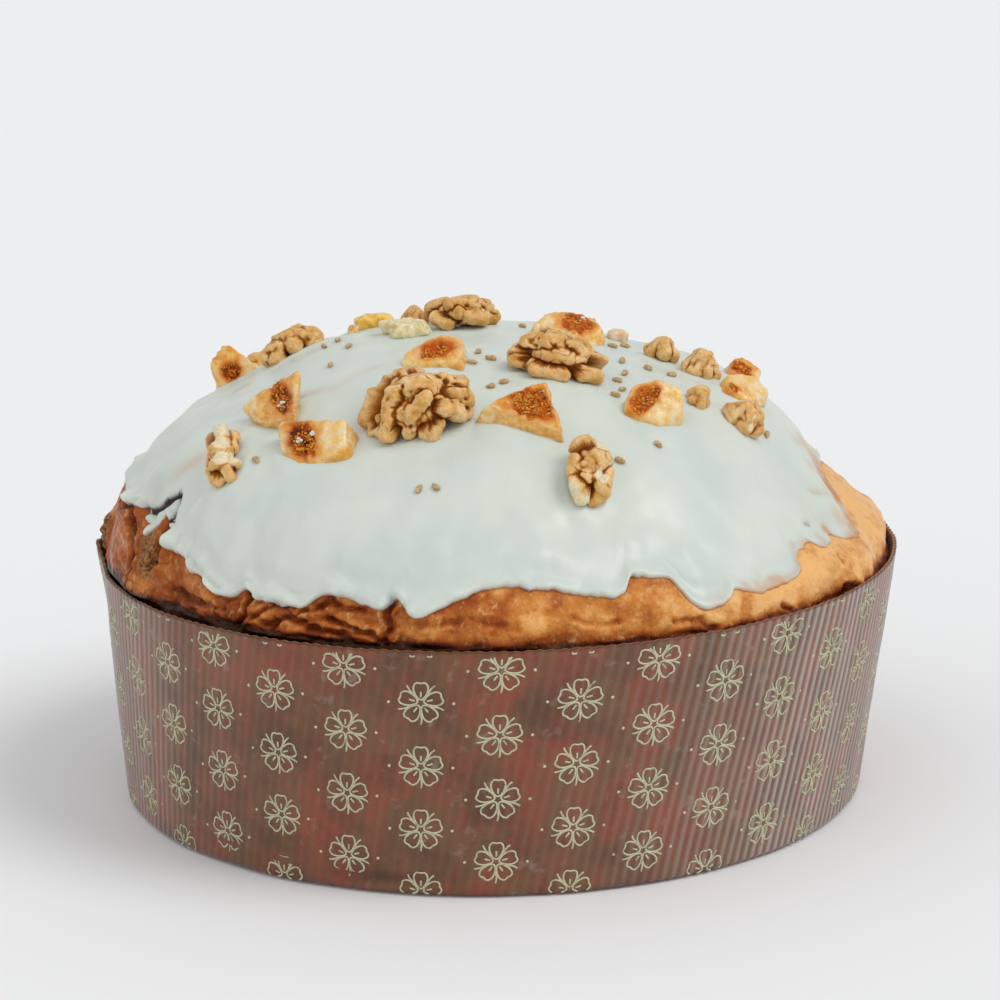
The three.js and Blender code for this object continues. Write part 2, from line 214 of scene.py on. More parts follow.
def copies(shape: Surface, points: Array, finish: int, values: dict[str, Array] | None = None) -> Surface:
    """One surface made of many copies of a shape.

    Args:
        shape: The shape whose faces each copy has.
        points: The points of each copy, by copy.
        finish: The number of the material.
        values: One number for each point of each copy, by name.

    Returns:
        The joined surface.
    """
    count, size = points.shape[:2]
    shift = size * np.arange(count)[:, None, None]
    given = {name: grid.reshape(-1) for name, grid in (values or {}).items()}
    quads = (shape.quads + shift).reshape(-1, 4)
    triangles = (shape.triangles + shift).reshape(-1, 3)
    return Surface(points.reshape(-1, 3), quads, triangles, given, finish)


def make_piece(name: str, surfaces: list[Surface], materials: list[Material], nodes: list[str]) -> bpy.types.Object:
    """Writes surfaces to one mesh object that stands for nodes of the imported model.

    Args:
        name: The name of the piece.
        surfaces: What it is made of.
        materials: Its materials, by the surfaces' finish numbers.
        nodes: The nodes that it replaces.

    Returns:
        The object, at the origin.
    """
    mesh = bpy.data.meshes.new(name)
    shifts = np.cumsum([0] + [len(s.points) for s in surfaces])
    corners, sizes, finishes = [], [], []
    for surface, shift in zip(surfaces, shifts):
        for faces in (surface.quads, surface.triangles):
            corners.append(faces.reshape(-1) + shift)
            sizes.append(np.full(len(faces), faces.shape[1]))
            finishes.append(np.full(len(faces), surface.finish))
    corners, sizes, finishes = (np.concatenate(parts) for parts in (corners, sizes, finishes))
    mesh.vertices.add(shifts[-1])
    mesh.vertices.foreach_set("co", np.concatenate([s.points for s in surfaces]).ravel() * MM)
    mesh.loops.add(len(corners))
    mesh.loops.foreach_set("vertex_index", corners)
    mesh.polygons.add(len(sizes))
    mesh.polygons.foreach_set("loop_start", np.concatenate([[0], np.cumsum(sizes)[:-1]]))
    mesh.polygons.foreach_set("material_index", finishes)
    mesh.polygons.foreach_set("use_smooth", np.ones(len(sizes), bool))
    for key in sorted({key for s in surfaces for key in s.values}):
        like = next(s.values[key] for s in surfaces if key in s.values)
        blank = [s.values.get(key, np.zeros((len(s.points), *like.shape[1:]))) for s in surfaces]
        vector = like.ndim == 2
        layer = mesh.attributes.new(key, "FLOAT_VECTOR" if vector else "FLOAT", "POINT")
        layer.data.foreach_set("vector" if vector else "value", np.concatenate(blank).ravel())
    mesh.update(calc_edges=True)
    for material in materials:
        mesh.materials.append(material)
    piece = bpy.data.objects.new(name, mesh)
    bpy.context.scene.collection.objects.link(piece)
    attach(piece, "root")
    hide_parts(*nodes)
    log.info("%s: %d faces", name, len(sizes))
    return piece


def add_node(tree: Tree, kind: str, inputs: dict[int | str, Any] | None = None,
             stops: list[tuple[float, str]] | None = None, **settings: Any) -> Node:
    """Adds a node with its settings, values and links.

    Args:
        tree: The node tree.
        kind: Blender's name for the kind of node.
        inputs: Values, sRGB hex colours or sockets to link from, by the input's name or number.
        stops: The places and sRGB hex colours of a colour ramp.
        **settings: Properties of the node.

    Returns:
        The new node.
    """
    node = tree.nodes.new(kind)
    for name, value in settings.items():
        setattr(node, name, value)
    for key, value in (inputs or {}).items():
        if isinstance(value, Socket):
            tree.links.new(value, node.inputs[key])
        else:
            node.inputs[key].default_value = linear(value) if isinstance(value, str) else value
    if stops:
        ramp = node.color_ramp
        while len(ramp.elements) < len(stops):
            ramp.elements.new(0.5)
        for element, (place, colour) in zip(ramp.elements, stops):
            element.position = place
            element.color = linear(colour)
    return node


class Looks:
    """The start of a material: its tree, the places on the piece, and its Principled shader."""

    def __init__(self, name: str, **shader: Any) -> None:
        """Makes the material, with plain values on the shader's own inputs.

        Args:
            name: The material's name.
            **shader: Values by the shader's input names, with spaces as underscores.
        """
        self.material = bpy.data.materials.new(name)
        self.material.use_nodes = True
        self.tree = self.material.node_tree
        self.tree.nodes.clear()
        values = {key.replace("_", " "): value for key, value in shader.items()}
        self.shader = add_node(self.tree, "ShaderNodeBsdfPrincipled", values)
        self.add("ShaderNodeOutputMaterial", {"Surface": self.shader.outputs[0]})
        self.place = self.add("ShaderNodeTexCoord").outputs["Object"]

    def add(self, kind: str, inputs: dict[int | str, Any] | None = None,
            stops: list[tuple[float, str]] | None = None, **settings: Any) -> Node:
        """Adds a node to this material."""
        return add_node(self.tree, kind, inputs, stops, **settings)

    def value(self, name: str, vector: bool = False) -> Socket:
        """The number, or the vector, that the mesh holds at each point under a name."""
        node = self.add("ShaderNodeAttribute", attribute_name=name)
        return node.outputs["Vector" if vector else "Fac"]

    def level(self, value: Socket, low: float, high: float, start: float = 0.0,
              end: float = 1.0) -> Socket:
        """A straight run from start, where the value is low, to end, where it is high."""
        return self.add("ShaderNodeMapRange", {"Value": value, "From Min": low, "From Max": high,
                                               "To Min": start, "To Max": end}).outputs[0]

    def mottle(self, size: float, detail: float = 3.0, low: float = 0.35, high: float = 0.65,
               place: Socket | None = None, stretch: tuple[float, float, float] = (1, 1, 1)) -> Socket:
        """Cloudy spots from 0 to 1.

        Args:
            size: The size of a spot in mm.
            detail: How many finer layers the spots have.
            low: The level that becomes 0.
            high: The level that becomes 1.
            place: The coordinates, or the object's own.
            stretch: The scale of each axis.

        Returns:
            The output socket.
        """
        turned = self.add("ShaderNodeMapping", {"Vector": place or self.place, "Scale": stretch})
        spots = self.add("ShaderNodeTexNoise", {
            "Vector": turned.outputs[0], "Scale": 1 / (size * MM), "Detail": detail, "Roughness": 0.6})
        return self.level(spots.outputs[0], low, high)

    def maths(self, operation: str, *values: Any) -> Socket:
        """One of Blender's sums, such as MULTIPLY, worked out at each point on up to three values."""
        return self.add("ShaderNodeMath", dict(enumerate(values)), operation=operation).outputs[0]

    def times(self, a: Any, b: Any) -> Socket:
        """One value times another."""
        return self.maths("MULTIPLY", a, b)

    def layer(self, share: Any, under: Socket | str, over: Socket | str) -> Socket:
        """One colour over another by a share."""
        return self.add("ShaderNodeMix", {0: share, 6: under, 7: over}, data_type="RGBA").outputs[2]

    def colour(self, socket: Socket) -> None:
        """Links the base colour."""
        self.tree.links.new(socket, self.shader.inputs["Base Color"])

    def runs(self, name: str, share: Socket, start: float, end: float) -> None:
        """Runs one of the shader's inputs from start to end by a share."""
        self.tree.links.new(self.level(share, 0, 1, start, end), self.shader.inputs[name])

    def relief(self, height: Socket, depth: float, under: Socket | None = None) -> Socket:
        """Bumps of a depth in mm from a height between 0 and 1, over other bumps."""
        inputs = {"Height": height, "Distance": depth * MM, "Strength": 1.0}
        if under:
            inputs["Normal"] = under
        bumps = self.add("ShaderNodeBump", inputs).outputs[0]
        self.tree.links.new(bumps, self.shader.inputs["Normal"])
        return bumps


@dataclass(frozen=True)
class BakingPaper:
    """Greaseproof paper, dyed brown and pressed into flutes: low sheen, worn pale on the crests, and paled further
    by a painted sheen on the crests and at the sides.
    """

    brown: str = "#785338"
    red: str = "#904a34"
    dark: str = "#4c3324"
    # The worn colour is also the painted sheen: it pales the crests and the sides.
    worn: str = "#a89284"
    # A painted highlight along the crests at the sides.
    crest_highlight: str = "#c6c2be"
    # Painted shade along the crease.
    crease_shade: str = "#2c1d18"
    baked: str = "#a06a33"
    # Darker from just below the cut edge down the inside.
    deeper_inside: str = "#4a1f08"
    sheen: str = "#dbe6f0"

    def build(self) -> Material:
        """The material. The inside and the cut edge are the bare paper, browned by the oven, and darker from just
        below the cut edge down the inside.
        """
        looks = Looks("fluted_baking_paper", Roughness=0.42, IOR=1.5, Specular_IOR_Level=0.35,
                      Sheen_Weight=0.5, Sheen_Roughness=0.3, Sheen_Tint=self.sheen)
        along = looks.value("along_flute", vector=True)
        streaks = looks.mottle(9, 6, 0.42, 0.62, along, (1, 1, 0.45))
        clouds = looks.mottle(17, 5, 0.46, 0.68)
        scuffs = looks.mottle(2.2, 5, 0.5, 0.72, along, (1, 1, 0.3))
        marks = looks.mottle(6, 7, 0.60, 0.72, along)
        fibres = looks.mottle(0.8, 2, 0.3, 0.7)
        flute = looks.value("flute")
        faded = looks.value("faded")
        base = looks.layer(streaks, self.brown, self.red)
        # Darker clouds; crests paled by wear and by a painted highlight; the sides paled by a painted sheen, with a
        # brighter painted highlight on their crests; scuffs and marks of wear; dark fibres.
        for share, most, colour in (
            (clouds, 0.7, self.dark), (flute, 0.14, self.worn), (faded, 0.22, self.worn),
            (looks.times(flute, faded), 0.75, self.crest_highlight), (looks.times(flute, scuffs), 0.4, self.worn),
            (marks, 0.5, self.worn), (fibres, 0.12, self.dark),
        ):
            base = looks.layer(looks.times(share, most), base, colour)
        # Painted shade along the crease.
        base = looks.layer(looks.value("crease"), base, self.crease_shade)
        inside_colour = looks.layer(looks.value("scorch"), self.baked, self.deeper_inside)
        looks.colour(looks.layer(looks.value("inside"), base, inside_colour))
        looks.runs("Roughness", scuffs, 0.42, 0.62)
        looks.relief(fibres, 0.05)
        return looks.material


@dataclass(frozen=True)
class PrintedInk:
    """A pale matt ink rubbed thin in places, so that the paper shows through."""

    ink: str = "#d0ceab"
    rubbed: str = "#a39a7e"

    def build(self) -> Material:
        """The material."""
        looks = Looks("pale_printing_ink", Roughness=0.6, IOR=1.45)
        looks.colour(looks.layer(looks.mottle(1.6, 4, 0.5, 0.75), self.ink, self.rubbed))
        return looks.material


@dataclass(frozen=True)
class BakedCrust:
    """An egg-washed crust: a thin glossy skin, browned by how much of the oven's heat it met, with painted shade by
    the rim, in crevices and in the valleys of its folds.
    """

    # The darkest stops carry the painted shade by the rim and in crevices.
    stops: tuple[tuple[float, str], ...] = (
        (0.0, "#ecb673"), (0.2, "#cd853e"), (0.42, "#a45522"), (0.62, "#803813"),
        (0.8, "#551a04"), (1.0, "#1c0601"),
    )
    fleck: str = "#dfb07a"
    crumb: str = "#a8743f"
    pore: str = "#35160a"
    shine: str = "#ffb078"

    def build(self) -> Material:
        """The material: spots and grain shift the browning, and pale flecks lie where it is light."""
        looks = Looks("egg_washed_crust", Roughness=0.3, IOR=1.45, Specular_IOR_Level=0.4,
                      Subsurface_Weight=0.1, Subsurface_Scale=0.002, Subsurface_Radius=(1.0, 0.45, 0.2),
                      Specular_Tint=self.shine, Coat_Weight=0.1, Coat_Roughness=0.2)
        bake = looks.value("bake")
        spots = looks.mottle(7, 5, 0.3, 0.7)
        grain = looks.mottle(1.3, 3, 0.3, 0.7)
        shifted = looks.maths("MULTIPLY_ADD", spots, 0.32, bake)
        shifted = looks.maths("MULTIPLY_ADD", grain, 0.12, shifted)
        level = looks.maths("SUBTRACT", shifted, 0.22)
        base = looks.add("ShaderNodeValToRGB", {0: level}, stops=list(self.stops)).outputs[0]
        specks = looks.mottle(1.8, 3, 0.57, 0.68, stretch=(1, 1, 0.5))
        light = looks.level(bake, 0.5, 0.75, 0.5, 0.05)
        base = looks.layer(looks.times(specks, light), base, self.fleck)
        torn = looks.layer(looks.mottle(0.9, 3, 0.35, 0.6), self.pore, self.crumb)
        looks.colour(looks.layer(looks.value("crumb"), base, torn))
        looks.runs("Roughness", spots, 0.3, 0.52)
        looks.relief(grain, 0.2)
        return looks.material


@dataclass(frozen=True)
class SugarIcing:
    """A white sugar and chocolate icing: poured warm, satin, light goes a little way into it."""

    white: str = "#d3d9cf"
    cool: str = "#cad2c9"
    thin: str = "#c68f5e"
    # Dark crust and painted shade in the splits.
    slit: str = "#2a1408"

    def build(self) -> Material:
        """The material. Thin icing takes the crust's colour, and a split in it is painted near black: the dark
        crust there, and painted shade in the crevice.
        """
        looks = Looks("poured_white_icing", Roughness=0.42, IOR=1.45, Specular_IOR_Level=0.4,
                      Subsurface_Weight=0.3, Subsurface_Scale=0.003, Subsurface_Radius=(1.0, 0.9, 0.75))
        base = looks.layer(looks.mottle(24, 2), self.white, self.cool)
        base = looks.layer(looks.value("thin"), base, self.thin)
        looks.colour(looks.layer(looks.value("slit"), base, self.slit))
        looks.runs("Roughness", looks.mottle(6, 2), 0.28, 0.44)
        looks.relief(looks.mottle(3.5, 2, 0.2, 0.8), 0.06)
        return looks.material


@dataclass(frozen=True)
class WalnutSkin:
    """The dry papery skin of a walnut kernel, dark in its folds by its own tone and by painted shade, with the
    cream nut where it broke.
    """

    ridge: str = "#edcb93"
    skin: str = "#d09a4c"
    # Painted shade over the skin's own darker tone: in the folds, and deeper in the grooves.
    fold: str = "#a2600e"
    groove: str = "#552504"
    vein: str = "#9a6326"
    cream: str = "#ece2c6"
    nut: str = "#dccb9f"
    shine: str = "#ff9c4c"

    def build(self) -> Material:
        """The material. The veins run where a fine noise crosses its middle level."""
        looks = Looks("walnut_kernel_skin", Roughness=0.36, IOR=1.45, Specular_IOR_Level=0.5,
                      Specular_Tint=self.shine, Coat_Weight=0.12, Coat_Roughness=0.18,
                      Subsurface_Weight=0.1, Subsurface_Scale=0.0015, Subsurface_Radius=(1.0, 0.6, 0.3))
        patches = looks.mottle(4, 4)
        grain = looks.mottle(0.7, 2, 0.3, 0.7)
        noise = looks.add("ShaderNodeTexNoise", {
            "Vector": looks.place, "Scale": 420.0, "Detail": 3.0, "Distortion": 1.2})
        away = looks.maths("ABSOLUTE", looks.maths("SUBTRACT", noise.outputs[0], 0.5))
        veins = looks.level(away, 0.0, 0.025, 0.4, 0.0)
        hollow = looks.value("hollow")
        base = looks.layer(patches, self.ridge, self.skin)
        base = looks.layer(veins, base, self.vein)
        # Painted shade in the hollows, over the skin's own darker tone.
        base = looks.layer(looks.level(hollow, 0.05, 0.5), base, self.fold)
        base = looks.layer(looks.level(hollow, 0.45, 1.0), base, self.groove)
        nut = looks.layer(grain, self.cream, self.nut)
        looks.colour(looks.layer(looks.value("broken"), base, nut))
        looks.runs("Roughness", patches, 0.3, 0.48)
        looks.relief(veins, -0.08, looks.relief(grain, 0.06))
        return looks.material


@dataclass(frozen=True)
class FigFlesh:
    """A candied fig: moist and clear as amber round a seedy red heart, with a pale skin."""

    amber: str = "#e0982a"
    pale: str = "#ecc06a"
    skin: str = "#efdcb4"
    heart: str = "#a8400f"
    glow: str = "#d66a14"
    core: str = "#551606"
    # Painted shade in the hollows of the heart.
    hollow: str = "#3c0d04"
    warm: str = "#d87d18"
    shine: str = "#ff9c48"

    def build(self) -> Material:
        """The material."""
        looks = Looks("candied_fig", Roughness=0.3, IOR=1.42, Specular_Tint=self.shine,
                      Coat_Roughness=0.08, Subsurface_Weight=0.3, Subsurface_Scale=0.003,
                      Subsurface_Radius=(1.0, 0.5, 0.15))
        clouds = looks.mottle(2.6, 4, 0.42, 0.58)
        fibres = looks.mottle(1.1, 4, 0.4, 0.62)
        in_heart = looks.value("heart")
        flesh = looks.layer(clouds, self.amber, self.pale)
        flesh = looks.layer(looks.times(looks.mottle(1.9, 3, 0.53, 0.63), 0.45), flesh, self.glow)
        cream = looks.layer(looks.mottle(2.4), self.skin, self.pale)
        flesh = looks.layer(looks.value("pale"), flesh, cream)
        flesh = looks.layer(looks.value("warm"), flesh, self.warm)
        heart = looks.layer(fibres, self.heart, self.glow)
        heart = looks.layer(looks.mottle(2.2, 3, 0.52, 0.66), heart, self.core)
        # Painted shade in the hollows of the heart.
        heart = looks.layer(looks.value("deep"), heart, self.hollow)
        looks.colour(looks.layer(in_heart, flesh, heart))
        looks.runs("Coat Weight", in_heart, 0.4, 0.12)
        looks.runs("Roughness", clouds, 0.16, 0.34)
        looks.relief(fibres, 0.12)
        return looks.material


@dataclass(frozen=True)
class PlainFinish:
    """A finish of two cloudy colours, for small things."""

    name: str
    light: str
    dark: str
    spot: float
    rough: float
    clear: float = 0.0

    def build(self) -> Material:
        """The material."""
        looks = Looks(self.name, Roughness=self.rough, IOR=1.45, Specular_Tint=self.light,
                      Subsurface_Weight=self.clear, Subsurface_Scale=0.003)
        spots = looks.mottle(self.spot)
        base = looks.layer(spots, self.light, self.dark)
        # Darker in the hollows: painted shade in the dents of the citron and almond, and between the anise ribs
        # over the seed's own darker furrows.
        looks.colour(looks.layer(looks.value("hollow"), base, self.dark))
        looks.relief(spots, 0.1)
        return looks.material


class Slot(Enum):
    """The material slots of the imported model."""

    PAPER = "paper"
    CRUST = "crust"
    ICING = "icing"
    FIG = "fig"
    WALNUT = "walnut"
    CITRON = "citron"
    ALMOND = "almond"


@dataclass(frozen=True)
class Dome:
    """The smooth dome: how far it reaches and how high it stands, from the rim (0) to the top (1)."""

    radius: float = 109.0
    x: float = 2.6
    y: float = -5.0
    reach: SmoothCurve = SmoothCurve((
        (0, 1), (0.1, 0.985), (0.22, 0.93), (0.38, 0.82), (0.58, 0.62), (0.8, 0.36), (1, 0)))
    left: SmoothCurve = SmoothCurve((
        (0, 69), (0.1, 79), (0.22, 91.7), (0.38, 104.7), (0.58, 115.4), (0.8, 127.1), (1, 129)))
    right: SmoothCurve = SmoothCurve((
        (0, 69), (0.1, 75.4), (0.22, 81.4), (0.38, 92.6), (0.58, 113.4), (0.8, 122.3), (1, 129)))

    def point(self, angle: Array, place: Array) -> Array:
        """The point in a direction at a place: the left and right heights blend by the direction."""
        right = smoothstep(0.5 + 0.5 * np.cos(angle), 0, 1)
        height = self.left(place) * (1 - right) + self.right(place) * right
        out = self.radius * self.reach(place)
        return np.stack([self.x + out * np.cos(angle), self.y + out * np.sin(angle), height], -1)

    def normal(self, angle: Array, place: Array) -> Array:
        """The outward direction: the cross product of two short steps on the dome."""
        step = 0.002
        inner = np.minimum(place, 1 - 2 * step)
        around = self.point(angle + step, inner) - self.point(angle - step, inner)
        up = self.point(angle, inner + step) - self.point(angle, np.maximum(inner - step, 0))
        return unit(np.cross(around, up))

    def off(self, angle: Array, place: Array, offset: Array) -> Array:
        """The point that stands off the dome by a distance."""
        return self.point(angle, place) + self.normal(angle, place) * np.asarray(offset)[..., None]

    def place_where(self, wanted: Array, rising: Callable[[Array], Array]) -> Array:
        """The place at which a rising function reaches each wanted value, by halving 30 times."""
        low = np.zeros_like(wanted)
        high = np.ones_like(wanted)
        for _ in range(30):
            middle = (low + high) / 2
            under = rising(middle) < wanted
            low = np.where(under, middle, low)
            high = np.where(under, high, middle)
        return (low + high) / 2

    def over(self, x: Array, y: Array) -> tuple[Array, Array]:
        """The direction and the place of the dome over points of the table."""
        out = np.hypot(x - self.x, y - self.y) / self.radius
        angle = np.arctan2(y - self.y, x - self.x)
        return angle, self.place_where(-np.minimum(out, 1.0), lambda place: -self.reach(place))


@dataclass(frozen=True)
class Wall:
    """The case's leaning wall, from a round foot to a wider, slightly oval rim with a torn tab."""

    foot_radius: float = 105.0
    height: float = 70.0
    rim_x: float = 111.6
    rim_y: float = 112.3
    shift_x: float = 2.6
    shift_y: float = -5.5
    slope: float = 0.01
    tab_at: float = 182.0
    tab_spread: float = 5.0
    tab_rise: float = 4.5
    tab_flare: float = 2.0

    def point(self, angle: Array, share: Array, inset: Array) -> Array:
        """The point in a direction, at a share of the height, at a depth into the paper."""
        torn = bell(angle, self.tab_at, self.tab_spread) * smoothstep(share, 0.8, 1)
        radius_x = self.foot_radius + (self.rim_x - self.foot_radius) * share
        radius_x = radius_x + torn * self.tab_flare - inset
        radius_y = self.foot_radius + (self.rim_y - self.foot_radius) * share - inset
        x = self.shift_x * share + radius_x * np.cos(angle)
        y = self.shift_y * share + radius_y * np.sin(angle)
        z = share * (self.height + self.slope * x) + torn * self.tab_rise
        return np.stack([x, y, z], -1)


@dataclass(frozen=True)
class Blossom:
    """A line-drawn blossom of the print, in mm: five drop-shaped petals with ticks and dots."""

    petals: int = 5
    reach: float = 6.0
    breadth: float = 2.35
    waist: float = 0.9
    samples: int = 26

    def strokes(self) -> list[tuple[Array, bool]]:
        """The lines of one blossom.

        Returns:
            Points in mm and whether they close. A petal runs out and back: its length goes by the
            squared sine of half its turn and its breadth by the sine, fuller at the tip.
        """
        turn = np.linspace(0, TURN, self.samples, endpoint=False)
        out = self.waist + (self.reach - self.waist) * np.sin(turn / 2) ** 2
        side = self.breadth * np.sin(turn) * (0.55 + 0.45 * np.sin(turn / 2) ** 2)
        notch = 0.55 * np.exp(-(((turn - math.pi) / 0.35) ** 2))
        lines = []
        for i in range(self.petals):
            lean = TURN * i / self.petals + math.pi / 2
            lines.append((self.turned(out - notch, side, lean), True))
            vein = np.linspace(1.6, 3.2, 4)
            lines.append((self.turned(vein, np.zeros(4), lean), False))
            tick = np.linspace(3.0, 6.1, 5)
            bend = 0.25 * np.sin((tick - 3.0) / 3.1 * math.pi)
            lines.append((self.turned(tick, bend, lean + math.pi / self.petals), False))
        return lines

    @staticmethod
    def turned(out: Array, side: Array, lean: float) -> Array:
        """Points at distances along and beside a line that leans by an angle."""
        return np.stack([out * math.cos(lean) - side * math.sin(lean),
                         out * math.sin(lean) + side * math.cos(lean)], -1)


@dataclass
class PaperCase:
    """The paper case: a fluted wall, a floor, a nibbled rim, and a print of blossoms."""

    wall: Wall = Wall()
    thickness: float = 0.9
    inner_depth: float = 1.45
    flutes: int = 226
    columns: int = 6
    lean: float = 0.16
    flute_depth: float = 0.32
    line_width: float = 0.52
    ink_height: float = 0.07
    print_columns: int = 34
    print_pitch: float = 18.0
    print_start: float = 1.5

    def groove(self, angle: Array, share: Array) -> Array:
        """0 on a flute's crest and 1 in the groove beside it: the flutes lean as they rise."""
        lean = self.lean * self.wall.height * share / self.wall.foot_radius
        return 1 - (0.5 + 0.5 * np.cos(self.flutes * (angle - lean))) ** 1.8

    def crisp(self, angle: Array) -> Array:
        """How crisp the flutes are: pressed almost flat in front, sharp at the sides, where the crests are pale
        with the painted sheen.
        """
        return 0.3 + 0.7 * np.clip(1.3 * self.faded(angle), 0, 1)

    def flute(self, angle: Array, share: Array) -> Array:
        """How deep the wall lies in its flutes, 0 on a crest."""
        return self.flute_depth * self.crisp(angle) * self.groove(angle, share)

    def inset(self, angle: Array, share: Array) -> Array:
        """The depth of the wall's outside: flutes, soft dents and a crease low at the left."""
        at = self.wall.point(angle, share, 0)
        soft = Noise(3)(at, (16, 16, 34))
        fine = Noise(4)(at, (5, 5, 9))
        tab = bell(angle, self.wall.tab_at, 9.0) * smoothstep(share, 0.7, 1)
        dents = 0.35 * (1 + soft) + 0.06 * (1 + fine) + 0.15 * tab
        return self.flute(angle, share) + dents + self.crease(angle, share)

    def crease(self, angle: Array, share: Array) -> Array:
        """A shallow crease where the paper was pressed in, from low at the left to the foot in front."""
        turn = degrees_between(angle, -118.0)
        line = 0.085 - 0.0011 * turn
        near = np.exp(-(((share - line) / 0.009) ** 2))
        return 0.3 * near * np.exp(-((turn / 19) ** 4))

    def outer(self, angle: Array, share: Array, proud: Array | float = 0.0) -> Array:
        """A point of the wall's outside, standing proud of it by a distance."""
        return self.wall.point(angle, share, self.inset(angle, share) - proud)

    def rim_share(self, angle: Array) -> Array:
        """The share of the height at which the cut edge runs: nicked flute by flute."""
        nicks = 0.5 - 0.5 * np.cos(self.flutes * angle + 1.0)
        spots = circle(angle, 110)
        ragged = 0.03 * bell(angle, self.wall.tab_at, 7.0) * np.abs(Noise(10)(spots, 2.2))
        return 1.0 - 0.0045 * nicks - 0.003 * (1 + Noise(8)(spots, 5.0)) - ragged

    def shell(self) -> Surface:
        """The paper from the middle of the foot, up the outside, over the rim and down inside."""
        count = self.flutes * self.columns
        turn = TURN * np.arange(count) / count
        shares = np.concatenate([[0.0, 0.008, 0.02, 0.04], np.linspace(0.07, 0.95, 22),
                                 [0.965, 0.98, 0.99, 1.0]])
        grid_share = shares[:, None] * self.rim_share(turn)
        lean = self.lean * self.wall.height * grid_share / self.wall.foot_radius
        angle = turn + lean
        curl = 1.6 * (1 - smoothstep(grid_share, 0, 0.03)) ** 2
        outside = self.wall.point(angle, grid_share, self.inset(angle, grid_share) + curl)
        top = grid_share[-1]
        top_angle = angle[-1]
        middle = self.wall.point(top_angle, top, self.inset(top_angle, top) + self.thickness / 2)
        middle[:, 2] += 0.12
        inner_share = np.array([1.0, 0.985, 0.95, 0.88, 0.7, 0.4, 0.1, 0.03])[:, None] * top
        inner_angle = turn + self.lean * self.wall.height * inner_share / self.wall.foot_radius
        near_rim = self.inset(inner_angle, inner_share) + self.thickness
        depth = np.where(inner_share > 0.8, near_rim, self.inner_depth)
        inside = self.wall.point(inner_angle, inner_share, depth)
        floor = [self.disc(turn, 0.2, 1.4), self.disc(turn, 0.96, 1.4)]
        under = [self.disc(turn, 0.3, 0.0), self.disc(turn, 0.955, 0.0), self.disc(turn, 0.975, 0.0)]
        rings = np.concatenate([under, outside, middle[None], inside, floor[::-1]])
        inner_from = len(under) + len(outside)
        inside_mask = np.zeros(rings.shape[:2])
        inside_mask[inner_from:] = 1
        inside_mask[inner_from - 1] = 0.7
        # How dark the inside is: 0.25 on the cut edge, then from 0 at the top of the inside to 1 further down, and
        # 1 on the floor.
        scorch = np.ones(rings.shape[:2])
        depth_down = 1 - inner_share
        scorch[inner_from + 1:inner_from + 9] = smoothstep(depth_down, -0.02, 0.09)
        scorch[inner_from] = 0.25
        crest = np.zeros(rings.shape[:2])
        crest[len(under):inner_from] = (1 - self.groove(angle, grid_share)) * self.crisp(angle)
        crease = np.zeros(rings.shape[:2])
        # The mask of the painted shade along the crease.
        crease[len(under):inner_from] = self.crease(angle, grid_share) * 2.2
        along = np.broadcast_to(circle(turn, self.wall.foot_radius), rings.shape).copy()
        along[..., 2] = rings[..., 2]
        values = {"inside": inside_mask, "scorch": scorch, "flute": crest, "crease": crease,
                  # Where the painted sheen lies, at the sides.
                  "faded": np.broadcast_to(self.faded(turn), scorch.shape).copy(),
                  "along_flute": along * MM}
        return closed_rings(rings, values)

    def faded(self, turn: Array) -> Array:
        """How much painted sheen the paper and its crests get: most at the right, the left and behind."""
        strength = ((-30.0, 34.0, 1.0), (-166.0, 20.0, 0.9), (62.0, 26.0, 0.8), (128.0, 22.0, 0.7))
        bands = [most * bell(turn, at, spread) for at, spread, most in strength]
        spots = circle(turn, self.wall.foot_radius)
        return np.clip(np.max(bands, axis=0) * (0.85 + 0.5 * Noise(9)(spots, 14.0)), 0, 1)

    def disc(self, turn: Array, share: float, height: float) -> Array:
        """A ring of the floor at a share of the foot's radius."""
        radius = self.wall.foot_radius * share
        return np.stack([radius * np.cos(turn), radius * np.sin(turn), np.full_like(turn, height)], -1)

    def ribbon(self, line: Array, closed: bool) -> Surface:
        """A raised line of ink along a path on the wall.

        Args:
            line: The path: mm round the wall, from its back seam, and mm up it.
            closed: Whether the path's ends meet.

        Returns:
            A closed strip whose section is a flat triangle: two edges that stand proud of the paper
            and one that lies inside it.
        """
        if closed:
            ahead = np.roll(line, -1, 0) - np.roll(line, 1, 0)
        else:
            ahead = np.gradient(line, axis=0)
        side = unit(np.stack([-ahead[:, 1], ahead[:, 0]], -1)) * self.line_width / 2
        rows = [line + side, line - side, line]
        proud = [self.ink_height, self.ink_height, -0.12]
        edges = [self.on_wall(row, height) for row, height in zip(rows, proud)]
        rings = np.stack(edges, 1)
        if not closed:
            return closed_rings(rings)
        count = len(line)
        here = np.arange(count)[:, None] * 3 + np.arange(3)
        ahead_ring = np.roll(here, -1, 0)
        beside = np.roll(here, -1, 1)
        quads = np.stack([here, beside, np.roll(ahead_ring, -1, 1), ahead_ring], -1).reshape(-1, 4)
        return Surface(rings.reshape(-1, 3), quads, np.zeros((0, 3), int)).faced_out()

    def on_wall(self, spots: Array, proud: float) -> Array:
        """Points of the wall for mm round it and mm up it."""
        round_rim = (self.wall.foot_radius + self.wall.rim_x) / 2
        angle = spots[:, 0] / round_rim
        share = spots[:, 1] / self.wall.height
        return self.outer(angle, share, proud)

